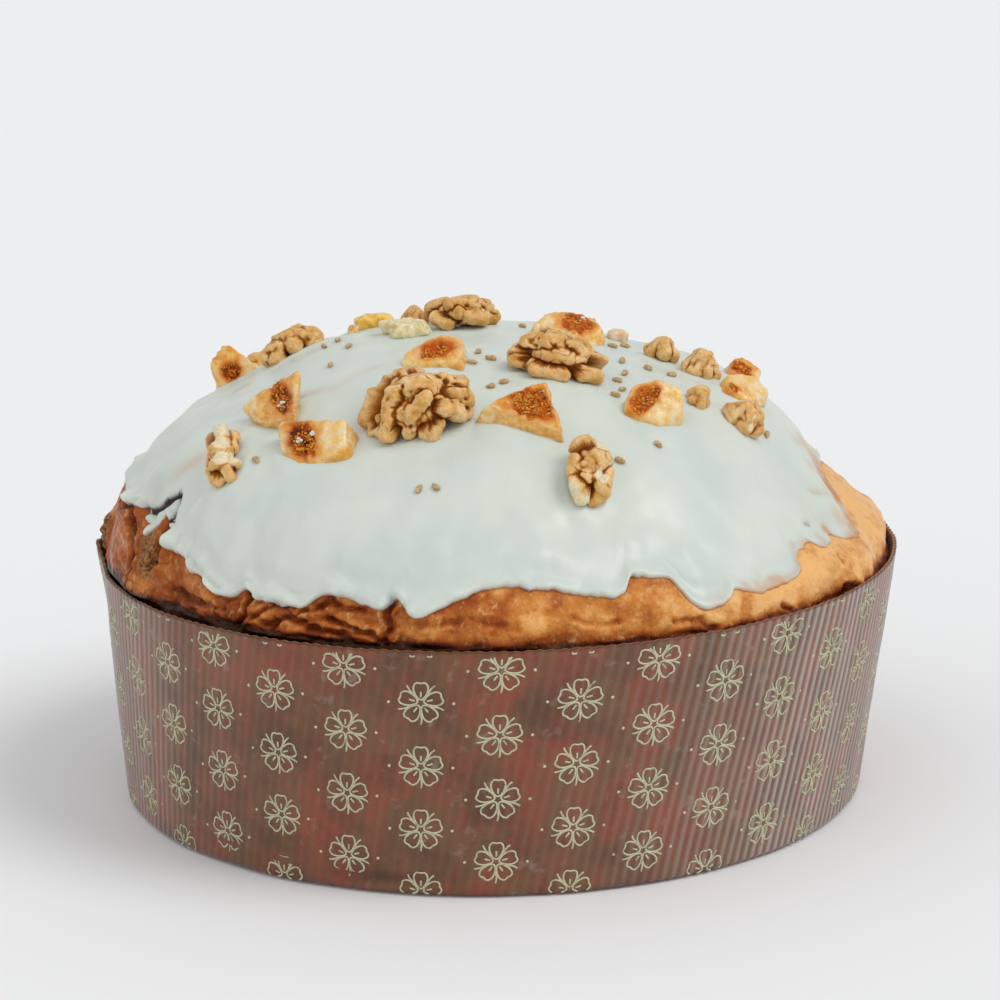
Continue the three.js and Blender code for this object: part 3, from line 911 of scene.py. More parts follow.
    def print_lines(self) -> list[Surface]:
        """The blossoms in upright columns, every other one half a pitch higher, cut off at the edges."""
        strokes = Blossom().strokes()
        around = TURN * (self.wall.foot_radius + self.wall.rim_x) / 2
        ink = []
        for column in range(self.print_columns):
            across = around * (column + 0.5) / self.print_columns
            start = self.print_start + self.print_pitch / 2 * (column % 2)
            for row in range(-1, 5):
                middle = np.array([across, start + self.print_pitch * row])
                for line, closed in strokes:
                    ink.extend(self.trimmed(line + middle, closed))
                ink.extend(self.dots(middle))
        return ink

    def dots(self, middle: Array) -> list[Surface]:
        """A small dot at each side of a blossom, halfway to the next column."""
        turn = np.linspace(0, TURN, 8, endpoint=False)
        spots = []
        for side in (-1, 1):
            centre = middle + np.array([side * 8.3, 0.0])
            if 1.5 < centre[1] < self.wall.height - 2.5:
                rim = centre + 0.42 * np.stack([np.cos(turn), np.sin(turn)], -1)
                low = self.on_wall(rim, -0.12)
                high = self.on_wall(rim, self.ink_height)
                spots.append(closed_rings(np.stack([low, high])))
        return spots

    def trimmed(self, line: Array, closed: bool) -> list[Surface]:
        """The runs of a line that lie on the wall, between its foot and its rim."""
        on_paper = (line[:, 1] > 0.9) & (line[:, 1] < self.wall.height - 1.3)
        if on_paper.all():
            return [self.ribbon(line, closed)]
        if closed and on_paper.any():
            first = int(np.argmin(on_paper))
            line = np.roll(line, -first, 0)
            on_paper = np.roll(on_paper, -first)
        edges = np.flatnonzero(np.diff(np.concatenate([[0], on_paper.astype(int), [0]])))
        runs = zip(edges[::2], edges[1::2])
        return [self.ribbon(line[a:b], False) for a, b in runs if b - a > 2]

    def build(self) -> None:
        """Makes the case, and its print as a piece of its own."""
        make_piece("paper_case_fluted", [self.shell()], [BakingPaper().build()], ["paper_case"])
        make_piece("paper_case_print", self.print_lines(), [PrintedInk().build()], ["paper_case"])


def crowded(count: int, at: float, spread: float, more: float) -> Array:
    """Angles once round the loaf, closer together about one direction.

    Args:
        count: How many there are.
        at: The direction in degrees.
        spread: How far the crowd reaches, in degrees.
        more: How many times as close they lie there, less one.

    Returns:
        The angles in radians, at equal steps of the running sum of 1 + more * a bell curve.
    """
    degrees = np.linspace(-180, 180, 7201)
    density = 1 + more * bell(degrees * DEGREE, at, spread)
    total = np.concatenate([[0], np.cumsum((density[1:] + density[:-1]) / 2)])
    return np.interp(np.arange(count) / count * total[-1], total, degrees) * DEGREE


ICING_EDGE = SmoothCurve((
    (-192, 88), (-176, 90), (-166, 88.6), (-160, 89), (-157.4, 90), (-156, 87.6), (-154, 87),
    (-152.4, 84.6), (-151, 87), (-149.6, 91), (-148.4, 89.5), (-147, 84.5), (-141, 83),
    (-139.5, 80), (-137, 80.6), (-134, 77.4), (-130, 76.6), (-127.5, 79), (-125, 77.2),
    (-119, 76.8), (-114, 81), (-108, 79), (-106.5, 78.2), (-104.5, 81.4), (-101.5, 76.6),
    (-96, 81), (-91, 84), (-83, 83), (-77, 81), (-73, 80.6), (-71, 83.6), (-66, 82.6), (-61, 74.8),
    (-57, 76.6), (-55.5, 78), (-51, 76.6), (-45, 77.4), (-41.5, 78.6), (-40, 81.5), (-36, 82.6),
    (-33.5, 80.6), (-30, 81.4), (-28, 83), (-24, 80), (-21, 79.4), (-17, 82), (-13, 89), (-4, 92.5),
    (12, 90), (22, 83), (31, 88), (44, 79), (53, 85), (66, 77.5), (76, 83), (88, 79), (97, 85),
    (110, 77), (121, 84), (131, 78.5), (142, 86), (155, 80), (168, 88), (184, 90)))


@dataclass(frozen=True)
class Scar:
    """A line on the dome: its path as (degrees, place), its half width and its depth in mm."""

    path: tuple[tuple[float, float], ...]
    width: float
    depth: float

    def away(self, points: Array, dome: Dome) -> Array:
        """The distance to the path divided by the half width, over the path's straight parts."""
        degrees, places = np.array(self.path).T
        line = dome.point(degrees * DEGREE, places)
        nearest = np.full(points.shape[:-1], 1e9)
        for start, end in zip(line[:-1], line[1:]):
            step = end - start
            share = np.clip((points - start) @ step / (step @ step), 0, 1)
            gap = points - start - share[..., None] * step
            nearest = np.minimum(nearest, np.linalg.norm(gap, axis=-1))
        return nearest / self.width


CRUST_SCARS = (
    Scar(((-160, 0.18), (-155, 0.12), (-154, 0.06), (-154, 0.0)), 1.1, 2.8),
    Scar(((-150, 0.27), (-147, 0.21), (-148, 0.16), (-148, 0.10)), 1.4, 3.4),
    Scar(((-172, 0.17), (-164, 0.17), (-160, 0.20)), 0.9, 2.0),
    Scar(((-176, 0.11), (-174, 0.06), (-173, 0.0)), 1.0, 2.0),
    Scar(((-127, 0.10), (-127, 0.06), (-129, 0.0)), 0.8, 2.0),
    Scar(((-126, 0.04), (-122, 0.09), (-119, 0.06)), 0.7, 1.3),
    Scar(((-119, 0.07), (-115, 0.10), (-114, 0.12), (-112, 0.10), (-109, 0.10)), 0.7, 1.3),
    Scar(((-124, 0.03), (-120, 0.055), (-116, 0.04), (-112, 0.03)), 0.8, 1.7),
    Scar(((-105, 0.14), (-105.6, 0.10), (-105, 0.06), (-106, 0.01)), 0.9, 2.4),
    Scar(((-114, 0.07), (-110, 0.045), (-107.5, 0.04), (-105, 0.0)), 0.7, 1.8),
    Scar(((-102, 0.14), (-104, 0.10)), 0.6, 1.0),
    Scar(((-140, 0.15), (-136, 0.12), (-132, 0.10)), 0.7, 1.0),
    Scar(((-144, 0.06), (-138, 0.045), (-131, 0.05)), 0.8, 1.0),
    Scar(((-101, 0.07), (-94, 0.09), (-88, 0.07)), 0.8, 0.6),
    Scar(((-80, 0.10), (-78, 0.075), (-74, 0.08)), 0.7, 0.7),
    Scar(((-66, 0.06), (-62, 0.055), (-60, 0.02)), 0.7, 1.0),
    Scar(((-47, 0.05), (-46, 0.02), (-45, 0.0)), 0.7, 1.4),
    Scar(((-33, 0.03), (-30.5, 0.02), (-29, 0.0)), 0.9, 2.2),
    Scar(((-31.5, 0.16), (-31.5, 0.13)), 0.6, 1.0),
    Scar(((26, 0.12), (30, 0.08), (29, 0.02)), 0.9, 1.6),
    Scar(((70, 0.09), (76, 0.07), (81, 0.02)), 0.8, 1.5),
    Scar(((104, 0.10), (108, 0.06), (107, 0.0)), 1.0, 2.0),
    Scar(((150, 0.12), (154, 0.07), (160, 0.06)), 0.9, 1.6),
)

ICING_SPLITS = (
    Scar(((-157.5, 0.2), (-154.5, 0.212), (-152.5, 0.23), (-150.4, 0.27)), 1.15, 1.9),
    Scar(((-149.6, 0.27), (-148.2, 0.22), (-148.6, 0.18)), 0.75, 1.7),
    Scar(((-32.6, 0.297), (-31.4, 0.293)), 1.0, 0.9),
    Scar(((-148.3, 0.62), (-147.6, 0.62)), 0.8, 1.0),
)

ICING_GROOVES = (
    Scar(((-138, 0.76), (-142, 0.67), (-148, 0.62), (-148, 0.51), (-151, 0.37), (-154, 0.30),
          (-158, 0.21)), 2.6, 0.42),
    Scar(((-52, 0.13), (-50, 0.16)), 2.4, 0.4),
    Scar(((-24, 0.36), (-19.5, 0.34), (-17, 0.28)), 1.3, 0.5),
    Scar(((20, 0.40), (16, 0.30), (17, 0.22)), 1.6, 0.5),
    Scar(((118, 0.52), (124, 0.40), (121, 0.28)), 1.6, 0.5),
)

ICING_RIDGES = (
    Scar(((-142, 0.41), (-142, 0.35), (-143, 0.29), (-145, 0.20)), 1.6, 0.7),
    Scar(((-61, 0.30), (-60, 0.18), (-61, 0.10)), 3.2, 0.8),
    Scar(((-118, 0.34), (-121, 0.22), (-120, 0.12)), 3.4, 0.6),
    Scar(((-86, 0.40), (-83, 0.26), (-85, 0.16)), 4.0, 0.5),
    Scar(((-24, 0.34), (-23, 0.25), (-21, 0.17)), 2.4, 0.6),
    Scar(((64, 0.34), (67, 0.22), (66, 0.12)), 3.2, 0.8),
    Scar(((108, 0.34), (111, 0.22), (110, 0.12)), 3.2, 0.7),
)


@dataclass
class Loaf:
    """The loaf: it fills the case, tucks in under the rim and rises to the dome."""

    dome: Dome = Dome()
    wall: Wall = Wall()
    sides: int = 1100
    bare_rings: int = 54
    covered_rings: int = 9
    overlap: float = 0.05
    inset: float = 1.8
    tuck: float = 9.0
    base: float = 1.7
    sunk: float = 2.2
    score_depth: float = 3.2
    score_at: float = -153.0
    score_spread: float = 4.0

    def edge(self, angle: Array) -> Array:
        """The place of the icing's lower edge in each direction."""
        degrees = degrees_between(angle, 0.0)
        heights = ICING_EDGE(degrees)
        spots = self.dome.point(angle, np.full_like(angle, 0.1))
        heights = heights + 0.5 * Noise(11)(spots, 5.0) + 0.45 * Noise(12)(spots, 2.2)
        return self.dome.place_where(heights, lambda place: self.dome.point(angle, place)[..., 2])

    def relief(self, angle: Array, place: Array) -> Array:
        """How far the bare crust stands off the dome: rolls, pillowy folds, crevices and a gash."""
        at = self.dome.point(angle, place)
        puckers = 0.7 * np.sin(11 * angle + 9 * place) + 0.5 * np.sin(23 * angle - 14 * place)
        bulge = 1.5 * smoothstep(-np.cos(angle), 0.6, 1)
        along = smoothstep(place, 0.16, 0.21) * (1 - smoothstep(place, 0.36, 0.42))
        gash = self.score_depth * along * bell(angle, self.score_at, self.score_spread)
        edge_in = smoothstep(place, 0.0, 0.02)
        swell = 0.5 * Noise(26)(at, 13.0) + 0.2 * Noise(27)(at, 3.4) + 0.07 * Noise(28)(at, 1.1)
        pores = 0.2 * smoothstep(Noise(29)(at, 1.9), 0.45, 0.8)
        folds, small = self.folds(at)
        rough = self.wrinkled(angle)
        folded = rough * (3.2 * (folds - 0.3) + 1.3 * (small - 0.3))
        cut, lips = self.scarred(at)
        lump = self.stuck(angle, place) * (2.2 + 1.2 * Noise(30)(at, 2.6))
        return puckers + bulge - gash + lump + edge_in * (swell + folded + lips - cut - pores)

    def stuck(self, angle: Array, place: Array) -> Array:
        """Where torn crumb sticks to the ragged tab of the case, at the far left."""
        beside = bell(angle, -176.5, 3.4)
        return beside * smoothstep(place, 0.015, 0.04) * (1 - smoothstep(place, 0.085, 0.13))

    def folds(self, at: Array) -> tuple[Array, Array]:
        """Large and small pillowy folds with sharp valleys: the size of noise, longer round the rim."""
        warp = at + 2.5 * drift(at, 8.0, 21)
        large = np.sqrt(Noise(24)(warp, (12.0, 12.0, 6.5)) ** 2 + 0.002)
        small = np.sqrt(Noise(25)(warp, (5.0, 5.0, 3.2)) ** 2 + 0.002)
        return large, small

    def scarred(self, at: Array) -> tuple[Array, Array]:
        """The depth of the crevices, and the height of the crust rolled up beside them, in mm."""
        wavy = at + 0.9 * drift(at, 3.0, 17)
        cut, lips = np.zeros((2, *at.shape[:-1]))
        for scar in CRUST_SCARS:
            away = scar.away(wavy, self.dome)
            cut = np.maximum(cut, scar.depth * np.exp(-(away**2)))
            lips = np.maximum(lips, 0.42 * scar.depth * np.exp(-(((away - 2.2) / 1.2) ** 2)))
        return cut, lips

    def wrinkled(self, angle: Array) -> Array:
        """How wrinkled the crust is by direction: most at the front left, some behind."""
        return 0.22 + bell(angle, -128.0, 30) + 0.5 * bell(angle, 95.0, 60)

    def offset(self, angle: Array, place: Array, edge: Array) -> Array:
        """The crust's offset: its relief where bare, sinking under the icing past the edge."""
        bare = 1 - smoothstep(place, edge - 0.01, edge + 0.09)
        return bare * self.relief(angle, place) - (1 - bare) * self.sunk

    def bake(self, angle: Array, place: Array, edge: Array) -> Array:
        """How dark the crust is, 0 to 1: its browning, darker at the left and lighter at the right, with painted
        shade by the rim, in crevices and in the valleys of its folds.
        """
        at = self.dome.point(angle, place)
        left = smoothstep(-np.cos(angle), -0.15, 0.8)
        right = smoothstep(np.cos(angle), 0.1, 0.7)
        # Painted shade by the rim, where the crust meets the paper.
        height = np.maximum(at[..., 2] - 70.3 + 0.9 * Noise(34)(at, 6.0), 0)
        low = np.exp(-height / (1.1 - 0.35 * left))
        folds, small = self.folds(at)
        rough = np.minimum(self.wrinkled(angle), 1.0)
        # Painted shade in the valleys of the folds.
        valleys = rough * (0.16 * np.exp(-((folds / 0.09) ** 2)) + 0.08 * np.exp(-((small / 0.09) ** 2)))
        cut, _ = self.scarred(at)
        cloud = 0.13 * Noise(33)(at, 12.0) + 0.1 * Noise(35)(at, 5.0)
        # Painted shade in the fold valleys and crevices, where the crust is bare.
        bare = (place < edge + 0.02) * (valleys + 0.22 * np.minimum(cut, 1.5))
        return np.clip(0.28 + 0.7 * low + 0.13 * left - 0.27 * right + bare + cloud, 0, 1)

    def build(self) -> None:
        """Makes the loaf as one closed piece."""
        angle = crowded(self.sides, self.score_at + 5, 20.0, 1.6)
        edge = self.edge(angle)
        tucked = 1 - self.tuck / self.wall.height
        lower = [self.wall.point(angle, np.full_like(angle, share), inset) for share, inset in
                 ((0.0, self.inset + 3), (0.06, self.inset), (0.4, self.inset), (tucked, self.inset))]
        lower[0][:, 2] = self.base
        bare = np.linspace(0, 1, self.bare_rings)[:, None] * (edge + self.overlap)
        covered = np.linspace(0.06, 0.98, self.covered_rings)[:, None]
        under = (edge + self.overlap) + (1 - edge - self.overlap) * covered
        place = np.concatenate([bare, under])
        around = np.broadcast_to(angle, place.shape)
        offset = self.offset(around, place, edge)
        offset[0] = 0
        skin = self.dome.off(around, place, offset)
        rings = np.concatenate([np.array(lower), skin])
        bake = np.concatenate([np.ones((len(lower), self.sides)), self.bake(around, place, edge)])
        turn = degrees_between(around, -150.5) + 25 * (place - 0.12)
        torn = np.exp(-((turn / 2.6) ** 4)) * smoothstep(place, 0.055, 0.075)
        torn = np.maximum(torn, smoothstep(self.stuck(around, place), 0.2, 0.6))
        crumb = np.concatenate([np.zeros((len(lower), self.sides)), torn])
        surface = closed_rings(rings, {"bake": bake, "crumb": crumb})
        make_piece("baked_loaf", [surface], [BakedCrust().build()], ["loaf"])


@dataclass
class Icing:
    """The icing: a poured skin over the dome with a round, wavy, dripping edge, and its seeds."""

    loaf: Loaf
    sides: int = 960
    proud: float = 1.3
    swell: float = 0.35
    lip: float = 1.9
    lip_width: float = 2.0

    def level(self, angle: Array, place: Array) -> Array:
        """How far the icing's smooth top stands off the dome, with its slow swells."""
        at = self.loaf.dome.point(angle, place)
        swell = self.swell * (np.sin(3 * angle + 7 * place) + np.sin(7 * angle - 11 * place))
        waves = 0.75 * Noise(42)(at, 17.0) + 0.35 * Noise(43)(at, 7.0)
        return self.proud + swell * smoothstep(1 - place, 0, 0.3) + waves

    def top(self, x: Array, y: Array) -> Array:
        """The height of the icing's smooth top over points of the table."""
        angle, place = self.loaf.dome.over(x, y)
        rise = self.level(angle, place) / self.loaf.dome.normal(angle, place)[..., 2]
        return self.loaf.dome.point(angle, place)[..., 2] + rise

    def normal(self, x: float, y: float) -> Array:
        """The icing's outward direction over a point of the table, from steps of 4 mm."""
        step = 4.0
        heights = self.top(np.array([x + step, x - step, x, x]), np.array([y, y, y + step, y - step]))
        slope_x, slope_y = (heights[0::2] - heights[1::2]) / (2 * step)
        return unit(np.array([-slope_x, -slope_y, 1.0]))

    def build(self, toppings: list["Topping"]) -> None:
        """Makes the icing as one closed piece.

        Args:
            toppings: The pieces that lie on it, round which it stands up a little.
        """
        dome = self.loaf.dome
        angle = crowded(self.sides, self.loaf.score_at + 2, 8.0, 4.0)
        edge = self.loaf.edge(angle)
        near = np.linspace(0, 1, 22) ** 1.3 * 0.13
        shares = np.concatenate([near, np.linspace(0.15, 0.985, 70)])[:, None]
        place = edge + shares * (1 - edge)
        around = np.broadcast_to(angle, place.shape)
        smooth = dome.point(around, place)
        steps = np.linalg.norm(np.diff(smooth, axis=0), axis=-1)
        inside = np.concatenate([np.zeros((1, self.sides)), np.cumsum(steps, 0)])
        crust = self.loaf.offset(around, place, edge)
        lip = 1 - np.clip(inside / self.lip_width, 0, 1)
        runs = 0.6 * Noise(41)(smooth * np.array([1, 1, 0.35]), 8.0) * smoothstep(inside, 0, 6)
        runs = runs * (1 - smoothstep(inside, 18, 45))
        ridges = self.marks(smooth, ICING_RIDGES) * smoothstep(inside, 1, 12)
        level = self.level(around, place) + ridges + runs
        blend = smoothstep(inside, 0, 11)
        beads = 1 + 0.35 * Noise(44)(smooth, 6.0)
        glazed = bell(around, -27.0, 27, 4)
        over = crust + self.lip * beads * (1 - 0.74 * glazed)
        outer = over * (1 - blend) + level * blend
        outer = np.where(inside < self.lip_width, crust + (outer - crust) * np.sqrt(1 - lip**2), outer)
        splits = self.marks(smooth, ICING_SPLITS)
        grooves = self.marks(smooth, ICING_GROOVES)
        outer = np.maximum(outer - splits - grooves, crust + 0.02)
        skin = dome.off(around, place, outer)
        skin = skin + self.collars(skin, toppings)[..., None] * dome.normal(around, place)
        inner_shares = np.concatenate([np.array([0.012, 0.05, 0.12]), np.linspace(0.2, 0.985, 9)])[:, None]
        inner_place = edge + inner_shares * (1 - edge)
        inner_around = np.broadcast_to(angle, inner_place.shape)
        depth = self.loaf.offset(inner_around, inner_place, edge) + 0.04
        inner = dome.off(inner_around, inner_place, depth)
        rings = np.concatenate([inner[::-1], skin])
        worn = grooves * (0.5 + 0.6 * Noise(50)(smooth, 9.0))
        thin = np.maximum(self.thinness(around, smooth, inside), np.clip(worn, 0, 0.4))
        blank = np.zeros(inner.shape[:2])
        values = {"thin": np.concatenate([blank, thin]),
                  # The splits get dark crust and painted shade.
                  "slit": np.concatenate([blank, smoothstep(splits, 0.65, 1.0)])}
        surface = closed_rings(rings, values)
        make_piece("poured_icing", [surface], [SugarIcing().build()], ["icing"])

    def marks(self, points: Array, scars: tuple[Scar, ...]) -> Array:
        """The depth in mm of lines on the icing, slightly wavy."""
        wavy = points + 0.6 * drift(points, 4.0, 47)
        depth = np.zeros(points.shape[:-1])
        for scar in scars:
            depth = np.maximum(depth, scar.depth * np.exp(-(scar.away(wavy, self.loaf.dome) ** 2)))
        return depth

    def thinness(self, angle: Array, points: Array, inside: Array) -> Array:
        """How much the crust shows through: in the glaze at the right, and along its edge."""
        right = bell(angle, -12.0, 13) * (1 - smoothstep(inside, 3, 20))
        ragged = smoothstep(inside + 2.5 * Noise(45)(points, 4.0), 0.5, 5.0)
        fringe = bell(angle, -32.0, 27, 4) * (1 - ragged)
        all_round = 0.35 * (1 - smoothstep(inside, 0, 0.9))
        cloud = smoothstep(Noise(46)(points, 7.0), -0.5, 0.4)
        return np.clip((0.85 * right + 0.75 * fringe) * cloud + all_round, 0, 1)

    def collars(self, points: Array, toppings: list["Topping"]) -> Array:
        """How far the icing stands up round the foot of each topping: 0.7 mm, fading over 1.6 mm."""
        rise = np.zeros(points.shape[:-1])
        for topping in toppings:
            x, y = topping.foot()
            across = points[..., 0] - x
            back = points[..., 1] - y
            turn = topping.turn * DEGREE
            along = (across * math.cos(turn) + back * math.sin(turn)) / (topping.length / 2)
            beside = (back * math.cos(turn) - across * math.sin(turn)) / (topping.width / 2)
            out = np.hypot(along, beside)
            away = np.maximum(out - 0.9, 0) * topping.width / 2
            rise = np.maximum(rise, 0.7 * np.exp(-((away / 1.6) ** 2)) * (out < 4))
        return rise


SEED_PLACES = (
    (-18.1, -88.4), (-13.8, -88.4), (44.2, -66.8), (33.9, -75.1), (75, -35.8), (-2.7, -27.5),
    (0.6, -33), (-4.3, -38.2), (0.6, -52.5), (4.2, -49.4), (10, 14), (34.5, -5), (38.3, 0.5),
    (36.7, -20.6), (43.5, -22.3), (50, -23.4), (34.6, -37.4), (37, -30.3), (35.8, -43), (33.6, -48.2),
    (-45, -10.2), (-42.8, -25.4), (-41.5, -6.2), (-38.2, -13.7), (-61, -64), (-20, 60), (25, 52),
    (-50, 55), (48, 38), (-5, 66), (62, 30), (-28, 46), (14, 68), (-74, 34))


@dataclass
class AniseSeeds:
    """The anise seeds: plump ribbed grains with a fine stalk end, lying half sunk in the icing."""

    icing: Icing
    length: float = 3.0
    width: float = 1.5
    height: float = 1.35
    sunk: float = 0.15

    def build(self) -> None:
        """Makes all the seeds as one piece: an ellipsoid drawn out at one end, with ten ribs."""
        random = np.random.default_rng(57)
        tilt = np.linspace(0, math.pi, 13)[1:-1][:, None]
        turn = np.linspace(0, TURN, 20, endpoint=False)
        rib = 1 + 0.08 * np.cos(10 * turn) * np.sin(tilt)
        taper = np.sin(tilt) ** 0.9 * (1 - 0.28 * np.cos(tilt)) * rib
        grid = np.stack([-np.cos(tilt) * np.ones_like(turn) * self.length / 2,
                         taper * np.cos(turn) * self.width / 2,
                         taper * np.sin(turn) * self.height / 2], -1)
        shape = closed_rings(grid)
        # Darker between the ribs: the seed's own furrows and painted shade.
        groove = closed_rings(grid, {"hollow": np.clip(-0.45 * np.cos(10 * turn) * np.sin(tilt), 0, 1)})
        placed = []
        for x, y in SEED_PLACES:
            normal = self.icing.normal(x, y)
            spin = random.uniform(0, TURN)
            along = np.array([math.cos(spin), math.sin(spin), 0.0])
            along = unit(along - normal * (along @ normal))
            across = np.cross(normal, along)
            middle = np.array([x, y, float(self.icing.top(np.array(x), np.array(y)))])
            middle = middle + normal * (self.height / 2 - self.sunk)
            size = random.uniform(0.85, 1.12)
            bend = 0.06 * shape.points[:, :1] ** 2 * across
            placed.append(middle + size * (shape.points @ np.array([along, across, normal]) + bend))
        values = {"hollow": np.tile(groove.values["hollow"], (len(placed), 1))}
        seeds = copies(shape, np.array(placed), 0, values)
        finish = PlainFinish("dried_anise_seed", "#e0c69a", "#b08a5a", 0.8, 0.6)
        make_piece("anise_seeds", [seeds], [finish.build()], ["icing"])


def directions(rows: int, columns: int) -> Array:
    """Unit directions by ring and by place round it, with the poles at the two ends of the x axis."""
    tilt = (np.arange(rows) + 0.5)[:, None] / rows * math.pi
    turn = TURN * np.arange(columns) / columns
    return np.stack([-np.cos(tilt) * np.ones_like(turn), np.sin(tilt) * np.cos(turn),
                     np.sin(tilt) * np.sin(turn)], -1)


def softened(grid: Array, times: int) -> Array:
    """A grid of values with each one averaged with its neighbours, some times over."""
    for _ in range(times):
        padded = np.concatenate([grid[:1], grid, grid[-1:]])
        grid = (padded[:-2] + padded[2:] + np.roll(grid, 1, 1) + np.roll(grid, -1, 1) + 2 * grid) / 6
    return grid


def reach_of_block(ways: Array, half: Array, power: float = 2.0) -> Array:
    """How far |x|^p + |y|^p + |z|^p = 1, in half sizes, reaches: an ellipsoid, or a rounder block."""
    return (np.abs(ways / half) ** power).sum(-1) ** (-1 / power)


def reach_of_plane(ways: Array, facing: Array, distance: float) -> Array:
    """How far it is to a plane in each direction, or very far where it lies behind."""
    toward = ways @ facing
    return np.where(toward > 1e-3, distance / np.maximum(toward, 1e-3), 1e3)


def reach_of_fold(ways: Array, start: Array, end: Array, radius: float) -> Array:
    """How far a round-ended fold reaches in each direction from the origin.

    Args:
        ways: Unit directions.
        start: One end of the fold's middle line.
        end: The other end.
        radius: Half of the fold's thickness.

    Returns:
        The far crossing with its cylinder, or with the ball at the nearer end; 0 where it is missed.
    """
    def ball(centre: Array) -> Array:
        ahead = ways @ centre
        left = ahead**2 - (centre @ centre - radius**2)
        return np.where(left > 0, ahead + np.sqrt(np.maximum(left, 0)), 0)

    length = np.linalg.norm(end - start)
    line = (end - start) / length
    across = ways - (ways @ line)[..., None] * line
    back = -start + (start @ line) * line
    a = np.maximum((across**2).sum(-1), 1e-9)
    b = across @ back
    left = b**2 - a * (back @ back - radius**2)
    far = (-b + np.sqrt(np.maximum(left, 0))) / a
    along = far * (ways @ line) - start @ line
    tube = np.where((left > 0) & (along > 0) & (along < length), far, 0)
    return np.maximum(np.maximum(tube, np.maximum(ball(start), ball(end))), 0)


@dataclass(frozen=True)
class Cut:
    """A flat or broken face: the way it faces (degrees round from +X, degrees up) and its distance."""

    round: float
    up: float
    distance: float

    def facing(self) -> Array:
        """The unit vector that the face points along."""
        level = math.cos(self.up * DEGREE)
        return np.array([level * math.cos(self.round * DEGREE), level * math.sin(self.round * DEGREE),
                         math.sin(self.up * DEGREE)])


@dataclass(frozen=True)
class Topping:
    """A piece that lies on the icing: its node, its place, the way its length points, its size."""

    node: str
    x: float
    y: float
    turn: float
    length: float
    width: float
    height: float
    seed: int = 1

    def half(self) -> Array:
        """Half of the length, width and height."""
        return np.array([self.length, self.width, self.height]) / 2

    def foot(self) -> tuple[float, float]:
        """The middle of the piece over the table."""
        return self.x, self.y

    def ways(self) -> Array:
        """The directions in which the piece is drawn: four rows of points to a mm of length."""
        rows = int(min(max(4 * self.length, 56), 116))
        return directions(rows, rows * 8 // 5)

    def turned(self, local: Array, back: bool = False) -> Array:
        """Points whose x runs along the piece, turned so that x runs to the right, or turned back."""
        turn = (-self.turn if back else self.turn) * DEGREE
        c, s = math.cos(turn), math.sin(turn)
        return np.stack([c * local[..., 0] - s * local[..., 1], s * local[..., 0] + c * local[..., 1],
                         local[..., 2]], -1)

    def noise_at(self, ways: Array, reach: Array) -> Array:
        """The points at a reach in each direction, moved so that each piece has noise of its own."""
        return ways * reach[..., None] + 50 * self.seed

    def seated(self, local: Array, icing: Icing) -> Array:
        """Local points pressed into the icing by a little, and none of them deeper than that.

        Args:
            local: Points with x to the right, y to the back and z off the icing.
            icing: What they lie on.

        Returns:
            The points in the loaf's frame.
        """
        normal = icing.normal(self.x, self.y)
        along = unit(np.array([1.0, 0, 0]) - normal * normal[0])
        axes = np.array([along, np.cross(normal, along), normal])
        base = np.array([self.x, self.y, float(icing.top(np.array(self.x), np.array(self.y)))])
        points = base + (local - np.array([0, 0, PRESSED])) @ axes
        floor = icing.top(points[..., 0], points[..., 1]) - PRESSED
        points[..., 2] = np.maximum(points[..., 2], floor)
        return points


Spot = tuple[float, float, float]


